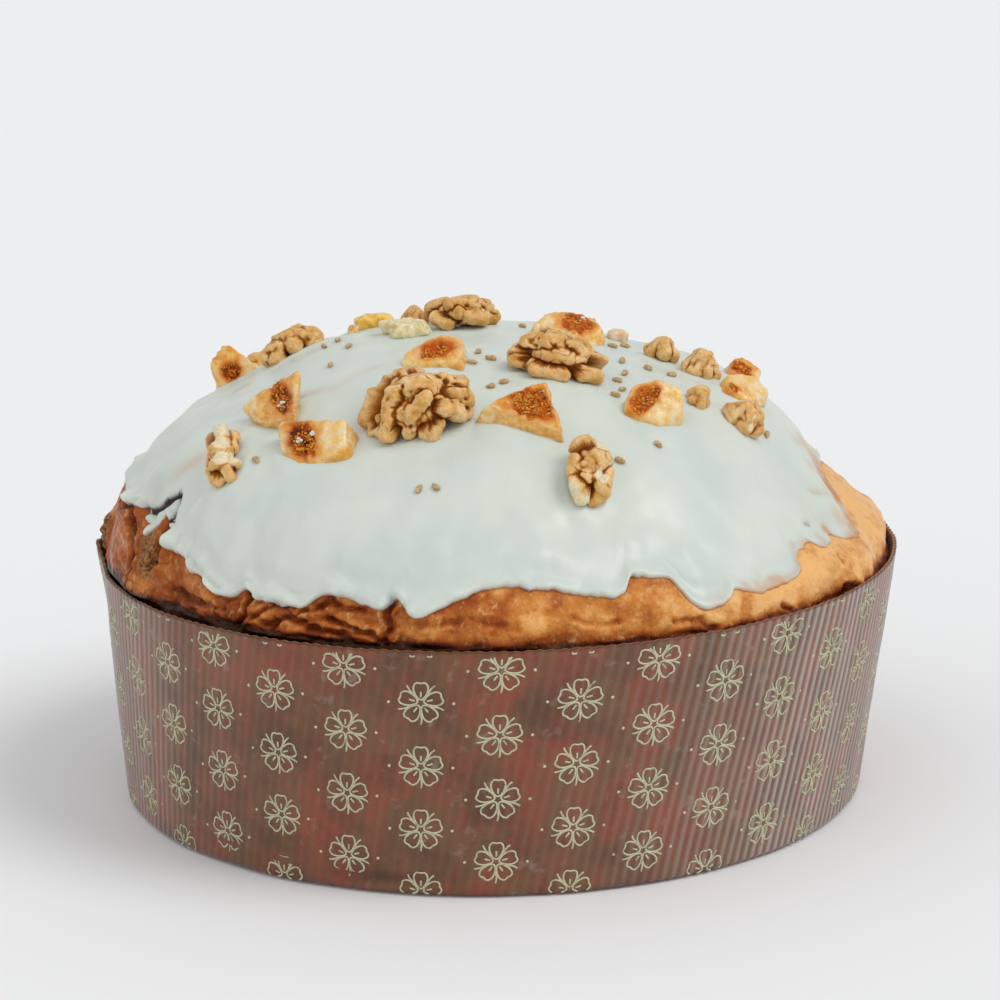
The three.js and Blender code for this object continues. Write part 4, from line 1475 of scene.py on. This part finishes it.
@dataclass(frozen=True)
class Walnut(Topping):
    """A piece of walnut kernel: rounded folds over a lumpy body, and cream nut where it is broken.

    The lobes are folds given by their two ends and their thickness. The others run out from the
    middle, on every side or, where lobes are given, on the side away from the front.
    """

    folds: int = 9
    thick: float = 0.42
    body: float = 0.66
    breaks: tuple[Cut, ...] = ()
    lobes: tuple[tuple[Spot, Spot, float], ...] = ()
    bare: tuple[tuple[Spot, float], ...] = ()

    def fold_lines(self) -> list[tuple[Array, Array, float]]:
        """The folds, from the middle of the piece: most run from high in the middle to low outside."""
        random = np.random.default_rng(self.seed)
        half = self.half()
        middle = np.array([0, 0, half[2] * 0.92])
        made = [(np.array(a) - middle, np.array(b) - middle, radius) for a, b, radius in self.lobes]
        for i in range(self.folds):
            turn = TURN * (i + random.uniform(-0.28, 0.28)) / self.folds
            radius = half[1] * self.thick * random.uniform(0.75, 1.2)
            out = np.array([math.cos(turn), math.sin(turn)]) * (half[:2] - radius)
            start = np.array([*(out * random.uniform(0.2, 0.42)), half[2] * random.uniform(0.25, 0.55)])
            end = np.array([*out, -half[2] * random.uniform(0.1, 0.5)])
            crown = np.array([*(out * random.uniform(0.5, 0.7)), half[2] * random.uniform(0.3, 0.6)])
            wanted = not self.lobes or self.turned(end)[1] > 0.35 * half[1]
            if wanted:
                made.append((self.turned(start), self.turned(end), radius))
            if random.uniform() < 0.55 and wanted:
                inner = start * np.array([0.4, 0.4, 1.0])
                made.append((self.turned(crown), self.turned(inner), radius * 0.75))
        return made

    def build(self, icing: Icing, materials: dict[str, Material]) -> None:
        """Makes the piece: the folds and the body, wrinkled, broken by its faces, set on the icing."""
        ways = self.ways()
        own = self.turned(ways, back=True)
        half = self.half()
        spots = ways * half[1] + 50 * self.seed
        level = 1 - 0.75 * np.abs(ways[..., 2:]) ** 0.5 * (ways[..., 2:] < 0)
        bent = unit(ways + level * (0.15 * drift(spots, 4.2, 51) + 0.06 * drift(spots, 1.7, 54)))
        reaches = [reach_of_block(own, half * self.body)]
        reaches += [reach_of_fold(bent, *fold) for fold in self.fold_lines()]
        reach = (np.stack(reaches) ** 20).sum(0) ** (1 / 20)
        reach = np.minimum(reach, reach_of_block(own, half * 1.1, 3.0))
        at = self.noise_at(ways, reach)
        warp = at + drift(at, 4.0, 61)
        wrinkle = np.abs(np.sin(math.pi * 1.6 * Noise(64)(warp, 5.0))) ** 0.5
        depth = 0.32 * min(1.0, self.width / 14)
        reach = reach - depth * (1 - wrinkle) + 0.25 * Noise(67)(at, 3.2) + 0.14 * Noise(65)(at, 1.5)
        broken = np.zeros_like(reach)
        for cut in self.breaks:
            plane = reach_of_plane(ways, cut.facing(), cut.distance)
            plane = plane * (1 + 0.05 * Noise(66)(at, 2.4))
            broken = np.maximum(broken, smoothstep(reach - plane, 0.0, 0.25))
            reach = np.minimum(reach, plane)
        spread = len(ways) // 3
        # How hollow the surface is, for the painted shade in its folds and wrinkles.
        hollow = (softened(reach, spread) - reach - 0.02) / 0.5 + 0.2 * (1 - wrinkle)
        hollow = np.clip(hollow, 0, 1) * (1 - broken)
        local = ways * reach[..., None] + np.array([0, 0, half[2] * 0.92])
        for spot, radius in self.bare:
            gap = np.linalg.norm(local - np.array(spot), axis=-1) + 0.6 * Noise(68)(at, 1.8)
            broken = np.maximum(broken, 1 - smoothstep(gap, radius * 0.7, radius))
        points = self.seated(local, icing)
        surface = closed_rings(points, {"hollow": hollow, "broken": broken})
        make_piece(f"{self.node}_kernel", [surface], [materials["walnut"]], [self.node])


@dataclass(frozen=True)
class Heart:
    """The seedy heart of a fig: an oval region round a point, its lean from +X, and its seeds."""

    middle: Spot
    half: Spot
    seeds: int = 50
    lean: float = 0.0

    def share(self, points: Array) -> Array:
        """The distance from the middle, 1 at the edge of the oval."""
        gap = points - np.array(self.middle)
        c, s = math.cos(self.lean * DEGREE), math.sin(self.lean * DEGREE)
        own = np.stack([c * gap[..., 0] + s * gap[..., 1], c * gap[..., 1] - s * gap[..., 0],
                        gap[..., 2]], -1)
        return np.linalg.norm(own / (1.2 * np.array(self.half)), axis=-1)


@dataclass(frozen=True)
class Fig(Topping):
    """A wedge of candied fig: a cut face of amber flesh round a red heart, and sides of pale skin.

    The face is given by its corners, in mm to the right, back and up from the piece's place on the
    icing. Without corners it is a five-sided face that is low toward its open side.
    """

    face: tuple[Spot, ...] = ()
    opens: float = 270.0
    heart: Heart = Heart((0, -2, 5), (4, 4, 4))
    pale: tuple[tuple[Spot, float], ...] = ()
    sugar: tuple[Spot, ...] = ()
    thick: float = 0.5
    flare: float = 0.18
    deep: float = 0.0

    def corners(self) -> Array:
        """The corners of the cut face, in order round it."""
        if self.face:
            return np.array(self.face)
        random = np.random.default_rng(900 + self.seed)
        turn = (self.opens + np.array([-52, 48, 118, 178, 242]) + random.uniform(-12, 12, 5)) * DEGREE
        half = self.half()
        lean = np.cos(turn - self.opens * DEGREE)
        out = random.uniform(0.78, 1.0, 5)
        flat = np.stack([np.cos(turn) * out, np.sin(turn) * out, 0 * turn], -1)
        flat = self.turned(self.turned(flat, back=True) * half)
        flat[:, 2] = self.height * (0.62 - 0.36 * lean)
        return flat

    def foot(self) -> tuple[float, float]:
        """The middle of the cut face over the table."""
        corners = self.corners()
        middle = (corners.min(0) + corners.max(0)) / 2
        return self.x + 0.8 * middle[0], self.y + 0.8 * middle[1]

    def reaches(self, ways: Array) -> tuple[Array, Array, Array]:
        """How far the wedge reaches.

        Args:
            ways: Directions from its inside.

        Returns:
            The reach to the cut face, the least reach to the leaning sides, and the start inside.
            The face looks along the sum of the cross products of its neighbouring corners. Each side
            holds one edge of the face and stands nearly upright, wider at its foot by the flare.
        """
        corners = self.corners()
        middle = corners.mean(0)
        after = np.roll(corners, -1, 0)
        facing = unit(np.cross(corners - middle, after - middle).sum(0))
        facing = facing * np.sign(facing @ np.array([math.cos(self.opens * DEGREE),
                                                     math.sin(self.opens * DEGREE), 1.6]))
        start = middle - facing * self.height * self.thick
        start[2] = max(start[2], 1.2)
        front = reach_of_plane(ways, facing, float((middle - start) @ facing))
        sides = []
        for corner, following in zip(corners, after):
            along = following - corner
            out = unit(np.array([along[1], -along[0], 0]))
            out = out * np.sign((corner + following - 2 * middle) @ out)
            leaning = unit(np.cross(along, np.array([0, 0, -1.0]) + self.flare * out))
            leaning = leaning * np.sign(leaning @ out)
            sides.append(reach_of_plane(ways, leaning, float((corner - start) @ leaning)))
        return front, (np.stack(sides) ** -12.0).sum(0) ** (-1 / 12), start

    def build(self, icing: Icing, materials: dict[str, Material]) -> None:
        """Makes the piece, the seeds on its heart and the specks of sugar."""
        ways = self.ways()
        front, side, start = self.reaches(ways)
        limit = reach_of_block(self.turned(ways, back=True), self.half() * np.array([1.7, 1.7, 2.2]), 4)
        reach = (np.stack([front, side, limit]) ** -9.0).sum(0) ** (-1 / 9)
        at = self.noise_at(ways, reach)
        reach = reach + 0.6 * Noise(71)(at, 4.5) + 0.26 * Noise(72)(at, 1.9)
        local = ways * reach[..., None] + start
        on_face = smoothstep(side - front, -0.3, 0.1)
        inside = smoothstep(side - front, 0.2, 1.7)
        ragged = self.heart.share(local) + 0.2 * Noise(73)(at, 2.0)
        heart = (1 - smoothstep(ragged, 0.8, 1.0)) * (0.35 + 0.65 * on_face)
        warm = (1 - smoothstep(ragged, 0.98, 1.35)) * 0.55
        pale = 0.8 * on_face * (1 - inside) + 0.25 * (1 - on_face)
        for spot, radius in self.pale:
            away = np.linalg.norm(local - np.array(spot), axis=-1) + Noise(74)(at, 3.0)
            pale = np.maximum(pale, 1 - smoothstep(away, radius, radius * 1.5 + 1))
        veins = np.exp(-((Noise(76)(at * np.array([1, 1, 0.6]), 2.6) / 0.1) ** 2))
        pale = np.clip(np.maximum(pale, 0.35 * veins * on_face) * (1 - heart), 0, 1)
        bumps = (0.5 + self.deep) * np.abs(Noise(75)(at, 1.4)) - 0.7 - 0.6 * self.deep
        local = local + ways * (heart * bumps + 0.12 * veins * on_face * (1 - heart))[..., None]
        points = self.seated(local, icing)
        # Where the painted shade of the heart's hollows lies.
        hollows = smoothstep(-Noise(77)(at, 2.4), -0.45, 0.3)
        deep = self.deep * hollows * smoothstep(1 - ragged, 0.0, 0.5)
        surface = closed_rings(points, {"heart": heart, "warm": warm, "pale": pale, "deep": deep})
        random = np.random.default_rng(700 + self.seed)
        pieces = [surface, self.beads(points[(heart > 0.5) & (on_face > 0.3)], random)]
        if self.sugar:
            near = [points[np.unravel_index(np.linalg.norm(local - np.array(spot), axis=-1).argmin(),
                                            heart.shape)] for spot in self.sugar]
            pieces.append(self.drops(np.array(near), random))
        make_piece(f"{self.node}_candied", pieces,
                   [materials["fig"], materials["fig_seed"], materials["sugar"]], [self.node])

    def oval(self) -> Surface:
        """A small ball for seeds and drops."""
        tilt = np.linspace(0, math.pi, 6)[1:-1][:, None]
        turn = np.linspace(0, TURN, 7, endpoint=False)
        return closed_rings(np.stack([np.cos(tilt) * np.ones_like(turn), np.sin(tilt) * np.cos(turn),
                                      np.sin(tilt) * np.sin(turn)], -1))

    def beads(self, spots: Array, random: np.random.Generator) -> Surface:
        """Fig seeds: small ovals at seeded places on the heart."""
        shape = self.oval()
        count = min(self.heart.seeds, len(spots))
        middles = spots[random.choice(len(spots), count, replace=False)] if count else spots
        sizes = random.uniform(0.22, 0.46, (count, 1, 1)) * random.uniform(0.7, 1.35, (count, 1, 3))
        return copies(shape, middles[:, None] + shape.points * sizes, 1)

    def drops(self, spots: Array, random: np.random.Generator) -> Surface:
        """Specks of sugar: each spot has three flat drops of icing close together."""
        shape = self.oval()
        near = np.repeat(spots, 3, 0) + random.uniform(-0.7, 0.7, (3 * len(spots), 3))
        sizes = random.uniform(0.45, 0.75, (len(near), 1, 1)) * np.array([1.2, 1.0, 0.8])
        return copies(shape, near[:, None] + shape.points * sizes, 2)


@dataclass(frozen=True)
class Morsel(Topping):
    """A small plain piece: a rounded block, as citron, or a rounded chip, as almond."""

    finish: str = "citron"
    slot: Slot = Slot.CITRON
    power: float = 3.0

    def build(self, icing: Icing, materials: dict[str, Material]) -> None:
        """Makes the piece: |x|^p + |y|^p + |z|^p = 1 in half sizes, dented by noise."""
        ways = directions(48, 72)
        half = self.half()
        reach = reach_of_block(ways, half, self.power)
        at = self.noise_at(ways, reach)
        reach = reach * (1 + 0.34 * Noise(81)(at, 4.0) + 0.1 * Noise(82)(at, 1.6))
        # How hollow the surface is, for the painted shade in its dents.
        hollow = np.clip((softened(reach, 10) - reach) / 0.4, 0, 1)
        local = ways * reach[..., None] + np.array([0, 0, half[2] * 0.95])
        points = self.seated(self.turned(local), icing)
        surface = closed_rings(points, {"hollow": hollow})
        make_piece(f"{self.node}_{self.finish}", [surface], [materials[self.finish]], [self.node])


TOPPINGS: tuple[Topping, ...] = (
    Fig("fig_front", 4.7, -68.9, 8, 22.8, 17.6, 11, 1,
        ((3.9, 5.4, 9.5), (10, 7.3, 9), (14.4, -6, 3.5), (-6.8, 0.2, 5)), 280,
        Heart((6.4, 0.2, 7.2), (6.8, 4.6, 3.5), 170, -25),
        (((13.2, 1.2, 6), 2.4), ((-5.5, -0.4, 3.5), 1.8)), ((8.5, 4.2, 8.5),)),
    Fig("fig_front_left", -49, -66.6, 5, 20.5, 15.4, 8.5, 2,
        ((-4.9, 7.7, 6.5), (13.8, 1, 7), (13, -7.3, 2.5), (5.1, -8, 1.5), (-2, -6.3, 1.5),
         (-6.5, 4.2, 3.5)), 270,
        Heart((0.9, -1, 5), (3.9, 7.2, 4), 90, 10),
        (((10.8, -2.2, 5), 3.4), ((-5, 1.6, 4), 2.6)), ((-0.3, -1.5, 5.4), (3.6, 0.2, 5.6)), deep=0.9),
    Fig("fig_left", -57.7, -47.5, 42, 19.6, 16.5, 12, 3,
        ((11.1, 4.7, 11), (8.2, -9.6, 6), (-2, -4.4, 2), (-9.1, 8.3, 4), (-0.5, 8.4, 8)), 250,
        Heart((4.4, -0.4, 8), (2.9, 7.6, 3.6), 80, 14),
        (((-6.5, 5.6, 5), 2.4), ((10.6, -2.5, 9), 2.0)), ((4.2, -2.2, 7.5),), 0.45, -0.3, 0.7),
    Fig("fig_far_left", -71, 14, -20, 14.1, 10.8, 9, 4,
        ((-5.6, -4.4, 1.2), (-5.4, -3.6, 3.4), (1.4, -2, 7.4), (6, -3, 4.6), (8, -4.6, 1.2)), 270,
        Heart((-0.4, -3.4, 4), (2.8, 2.8, 2.6), 26), (((6.4, -3.5, 3), 2.4),), deep=0.5),
    Fig("fig_middle", -17.5, -37.3, 15, 18.8, 13.6, 7.5, 5,
        ((-5.4, -0.6, 4), (4.9, 5.3, 7), (11.1, 2.6, 7), (10.6, -7.1, 2), (2.1, -5.9, 2), (-6, -5.6, 2)),
        270, Heart((4, -0.7, 5), (4.8, 3.2, 3), 40, 10), (((-3, -2, 3), 3.2), ((10.6, -0.5, 4), 2.0))),
    Fig("fig_front_right", 39.8, -58, -12, 18, 14.8, 10, 6,
        ((-3.1, 4.8, 8), (4.2, 6.8, 9.5), (10.4, 5.6, 8), (11.2, 1.0, 4.6), (4.8, -4.7, 2),
         (-4.6, -1.2, 2.6)), 275,
        Heart((-0.2, 0.8, 5.8), (6.6, 2.5, 3.6), 60, 50), (((7.4, 0.8, 6.0), 5.6), ((-4.6, 1.5, 4), 1.6))),
    Fig("fig_right", 68.8, -22, 20, 15.5, 12.5, 7, 7, (), 262,
        Heart((-4.0, -3.2, 3), (1.8, 1.8, 2), 8), (((4, 1, 4), 3.0), ((-2, 3, 4.5), 2.0))),
    Fig("fig_far_right", 70, -2, 10, 12, 10, 7, 8, (), 262,
        Heart((-1.6, -1.5, 4.5), (3.6, 3.2, 3), 25), (((5, 0, 3), 2.0),)),
    Fig("fig_top", 17.7, 0.5, -10, 20.9, 14.3, 7.5, 9,
        ((-6, -5, 4.5), (-1, 0, 8), (8, 1, 8.5), (14.5, -4, 5), (13, -10, 1.5), (2, -11, 1.5)), 270,
        Heart((6.7, -3.6, 6.5), (4.4, 4.2, 3.5), 60), (((-4, -5, 5), 3.4),), ((8, -2, 7),)),
    Walnut("walnut_half", -17.8, -65.8, 12, 31, 24, 14, 10, 9, 0.36, 0.6, (), (
        ((-5.2, 0.2, 11.3), (-8.5, -6.7, 3.5), 2.5), ((-11.1, 3.5, 8), (-14.0, 1.3, 3), 2.2),
        ((-12.4, 1.3, 3), (-12.4, -3, 2), 1.5), ((-9.8, -0.8, 4.5), (-10.1, -4.4, 2), 1.5),
        ((-7.8, 9.0, 7.5), (0.1, 11.2, 8.5), 2.8), ((-4.1, 6.5, 9.5), (0.7, 9.6, 9), 2.1),
        ((3, -4.1, 10.8), (-1.2, -6, 8), 2.3), ((-1.1, -4.7, 7), (-2.8, -6.4, 3), 2.1),
        ((6.6, -2.4, 8), (1.3, -7.4, 2.5), 1.8), ((5.2, -6.3, 4), (3.1, -8.4, 2), 1.9),
        ((8.1, -4.6, 7.3), (11, -2.3, 4), 2.5), ((7.5, 4.9, 9.6), (12, 6.2, 7), 2.4),
        ((9.5, 1, 8), (12.6, 3.4, 4), 2.4), ((-0.3, 1.4, 10), (3.9, 6.0, 9.6), 1.9),
        ((9.5, -1.5, 3), (12.5, 0.5, 2), 1.8))),
    Walnut("walnut_left", -68.2, -60.1, 80, 18.2, 11.1, 9.5, 11, 6, 0.42, 0.58, (), (
        ((-3.6, 8.4, 6), (-4.9, 6.2, 4), 1.6), ((1.6, 7, 7.4), (0.5, 0.7, 6), 1.9),
        ((-4.6, 5.7, 3), (-4.2, -0.3, 3), 1.8), ((-1.9, 0.6, 5.2), (-1.5, -1, 4), 1.8),
        ((-3.9, -3.1, 3), (-2.6, -6.4, 2), 1.9), ((-1.4, -3.8, 5.2), (2.6, -3.3, 2.5), 1.9),
        ((1.8, 4.4, 4.5), (2.3, 2.3, 3.5), 1.8), ((0.4, -5.5, 3.4), (0.9, -7.2, 2), 1.6)),
        (((1.4, 5.8, 8), 2.9), ((0.6, 1.6, 7), 2.6), ((0.4, -3.2, 6.2), 2.6), ((2.8, -2.6, 3), 2.5))),
    Walnut("walnut_far_left", -54, 2, 12, 19.7, 12.8, 8, 12, 8, 0.42, 0.6),
    Walnut("walnut_middle", 17.7, -41.3, -12, 28.4, 20.3, 12.4, 13, 9, 0.36, 0.56, (), (
        ((-8.4, 1, 8), (-2.7, -1.2, 9.6), 2.5), ((-4.3, 7, 9.6), (0.7, 8.4, 9.4), 2.0),
        ((3.9, -0.4, 8.6), (6.2, -1.0, 7.6), 2.5), ((2, 6.2, 8.6), (6.6, 6.6, 7.6), 2.6),
        ((8.2, 4.6, 6.6), (11.8, 4.6, 4), 2.5), ((-11.6, 1.1, 4.6), (-4.6, 1.8, 5), 1.9),
        ((-11.0, -1.2, 2.5), (0, -2.2, 3), 2.0), ((1, -2.4, 3.5), (10.8, -3.4, 3), 2.2),
        ((7.2, -5.0, 2), (11.2, -3.0, 2), 1.6), ((-6, -5.4, 2.2), (2, -6.4, 2.2), 1.9))),
    Walnut("walnut_front", 25.3, -82.1, 84, 19, 12.5, 10, 14, 7, 0.42, 0.56, (), (
        ((-4.6, 6.4, 6.2), (-1.7, 7.2, 7.2), 2.2), ((-1.7, 7.2, 7.2), (2.1, 6.6, 5.2), 2.0),
        ((-4.6, 1.4, 5.8), (-4.6, -1.9, 5), 2.1), ((-4.6, -2.3, 5.2), (-1.2, 0.1, 7.2), 1.9),
        ((1.1, 2.4, 6.6), (-2.2, -4.1, 6), 1.6), ((-4.2, -5.6, 5), (-2.5, -7.8, 3), 2.2),
        ((4.0, -0.1, 4), (3.1, -5.4, 3), 2.3), ((1.8, -4.9, 4.8), (1.2, -7.2, 2), 2.1),
        ((3.6, 4.0, 4), (4.0, 2.2, 3), 1.8)),
        (((-5.6, -7, 5), 2.9), ((-2.2, -9.2, 3), 2.6), ((2.4, -3.0, 6.2), 2.3), ((2.4, 6.6, 6.6), 2.3))),
    Walnut("walnut_top", -6.7, -0.3, 10, 22.2, 15.7, 9.5, 15, 9, 0.38, 0.58, (), (
        ((-9.2, 6.0, 5.4), (-4.9, 2.9, 7.4), 2.1), ((-3.1, -1.6, 7.8), (-0.7, -0.8, 7.8), 2.2),
        ((-1, -5.2, 5.6), (-3.1, -0.7, 4), 2.0), ((2.6, 2.1, 6.6), (6.5, 2.1, 6), 2.3),
        ((5.3, 0.2, 4), (8.6, 2.6, 2.5), 2.0), ((1.4, -4.2, 4.4), (5.4, -3.6, 3), 2.0),
        ((-7.4, -2.6, 4.2), (-4.4, -4.8, 2.6), 2.0))),
    Walnut("walnut_top_left", -20.6, 8.6, -25, 9, 6.4, 6, 16, 5, 0.5),
    Walnut("walnut_right_rear", 47.6, -9.2, -35, 10.8, 9.2, 7.6, 17, 6, 0.46, 0.6),
    Walnut("walnut_right_middle", 58.2, -14.6, 5, 12.4, 10.5, 8, 18, 6, 0.44, 0.6),
    Walnut("walnut_right_front", 67, -41.6, -18, 13, 11, 8, 19, 6, 0.44, 0.62, (Cut(280, 30, 4.4),)),
    Walnut("walnut_right_small", 55.6, -42.4, 70, 8.6, 7.4, 6.4, 20, 5, 0.5),
    Morsel("citron_yellow", -31.9, 8.8, 20, 10.4, 8, 5, 21),
    Morsel("citron_pale", -22.4, -7.4, 10, 13.1, 9.6, 5.4, 22, "citron_pale"),
    Morsel("almond_top", 36, 9.7, 25, 6.8, 5.4, 4.4, 23, "almond", Slot.ALMOND, 2.4),
    Walnut("walnut_crumb_top", 28, 13.5, 40, 7, 5.5, 5, 24, 5, 0.5),
    Walnut("walnut_crumb_left", -37.4, -1.5, 60, 4.6, 4, 3.4, 25, 4, 0.5),
    Fig("fig_back", -9, 37, 170, 13, 10, 5, 26, (), 95, Heart((0, 1, 3.5), (3.6, 2.8, 3), 30)),
    Fig("fig_back_left", -42, 74, 130, 17, 14, 8, 27, (), 100, Heart((0, 1, 5), (5.4, 3.8, 4), 70, 20),
        (((-5, 3, 4), 2.6),), ((1, 1, 5),)),
    Fig("fig_back_right", 56, 61, 215, 17, 14, 8, 28, (), 75, Heart((0, 1, 5), (4.2, 5.4, 4), 70, 20),
        (((5, 1, 4), 2.4),)),
    Fig("fig_far_back", 5, 81, 100, 18, 14, 7, 29, (), 90, Heart((0, 1, 4.5), (4.4, 5.4, 4), 70, 15),
        (((0, -6, 5), 2.6),), ((0, 2, 4.5),)),
    Walnut("walnut_back", -16, 88, 60, 22, 17, 11, 30, 10, 0.38, 0.58),
    Walnut("walnut_back_right", 32, 79, 100, 20, 14, 9.5, 31, 9, 0.4, 0.58),
    Walnut("walnut_back_left", -66, 42, 30, 13, 10, 7, 32, 6, 0.44, 0.6),
    Morsel("citron_back", 20, 33, 80, 11, 8, 4, 33),
)


def kitchen_finishes() -> dict[str, Material]:
    """The finishes of the toppings, by kind."""
    return {
        "walnut": WalnutSkin().build(),
        "fig": FigFlesh().build(),
        "fig_seed": PlainFinish("golden_fig_seed", "#f4a244", "#c85a14", 1.6, 0.25, 0.4).build(),
        "sugar": PlainFinish("sugar_speck", "#efe9e0", "#dccdbb", 0.8, 0.4, 0.3).build(),
        "citron": PlainFinish("candied_citron_peel", "#f0d276", "#dcaa3c", 2.2, 0.2, 0.6).build(),
        "citron_pale": PlainFinish("candied_citron_flesh", "#ede4c4", "#d3c48c", 2.2, 0.2, 0.6).build(),
        "almond": PlainFinish("blanched_almond", "#ecd9bd", "#d3ae83", 2.0, 0.5, 0.2).build(),
    }


@dataclass(frozen=True)
class Studio:
    """The pale table, the soft lights and the camera, which stands as the photographer's did."""

    distance: float = 954.643
    height: float = 310.045
    focal_pixels: float = 3476.678
    frame_pixels: float = 1000.0
    sensor: float = 36.0
    yaw: float = 0.0030
    pitch: float = 0.2357
    roll: float = -0.0121
    table: str = "#efefef"
    room: str = "#f8fafc"
    room_light: float = 0.68

    def camera(self) -> None:
        """Places the camera by its yaw, its pitch down and its roll."""
        level = math.cos(self.pitch)
        ahead = np.array([math.sin(self.yaw) * level, math.cos(self.yaw) * level, -math.sin(self.pitch)])
        right = np.array([math.cos(self.yaw), -math.sin(self.yaw), 0])
        up = np.cross(right, ahead)
        c, s = math.cos(self.roll), math.sin(self.roll)
        right, up = c * right + s * up, c * up - s * right
        data = bpy.data.cameras.new("photo_camera")
        data.sensor_width = self.sensor
        data.lens = self.focal_pixels * self.sensor / self.frame_pixels
        data.clip_start = 0.05
        camera = bpy.data.objects.new("photo_camera", data)
        place = Matrix.Translation((0, -self.distance * MM, self.height * MM))
        camera.matrix_world = place @ Matrix(np.stack([right, up, -ahead], 1).tolist()).to_4x4()
        bpy.context.scene.collection.objects.link(camera)
        bpy.context.scene.camera = camera

    def lamp(self, name: str, come_from: tuple[float, float, float], strength: float,
             spread: float) -> None:
        """Adds a broad even light from far away.

        Args:
            name: The light's name.
            come_from: The direction that it comes from.
            strength: Its strength in watts for a square metre.
            spread: How wide it looks from the loaf, in degrees.
        """
        data = bpy.data.lights.new(name, "SUN")
        data.energy = strength
        data.angle = spread * DEGREE
        light = bpy.data.objects.new(name, data)
        back = unit(np.array(come_from))
        side = unit(np.cross([0, 0, 1.0], back))
        light.matrix_world = Matrix(np.stack([side, np.cross(back, side), back], 1).tolist()).to_4x4()
        bpy.context.scene.collection.objects.link(light)

    def surroundings(self) -> None:
        """The floor and the even white light of the room."""
        corners = np.array([[-6, -6, 0], [6, -6, 0], [6, 6, 0], [-6, 6, 0]], float)
        mesh = bpy.data.meshes.new("pale_table")
        mesh.from_pydata(corners.tolist(), [], [(0, 1, 2, 3)])
        looks = Looks("matt_pale_table", Roughness=0.9, Base_Color=self.table, Specular_IOR_Level=0.1)
        mesh.materials.append(looks.material)
        table = bpy.data.objects.new("pale_table", mesh)
        bpy.context.scene.collection.objects.link(table)
        world = bpy.data.worlds.new("white_room")
        world.use_nodes = True
        world.node_tree.nodes.clear()
        glow = add_node(world.node_tree, "ShaderNodeBackground", {
            "Color": self.room, "Strength": self.room_light})
        add_node(world.node_tree, "ShaderNodeOutputWorld", {"Surface": glow.outputs[0]})
        bpy.context.scene.world = world

    def build(self) -> None:
        """Sets up the camera, the lights and the table."""
        bpy.context.scene.view_settings.view_transform = "Standard"
        self.camera()
        self.surroundings()
        self.lamp("window_right", (0.75, -0.35, 1.0), 1.15, 32)
        self.lamp("soft_left", (-0.9, -0.7, 0.9), 0.35, 70)


def main() -> None:
    """Builds the studio and each part of the panettone."""
    logging.basicConfig(level=logging.INFO, format="%(name)s: %(message)s")
    Studio().build()
    PaperCase().build()
    loaf = Loaf()
    loaf.build()
    icing = Icing(loaf)
    icing.build(list(TOPPINGS))
    AniseSeeds(icing).build()
    materials = kitchen_finishes()
    for topping in TOPPINGS:
        topping.build(icing, materials)


if __name__ == "__main__":
    main()
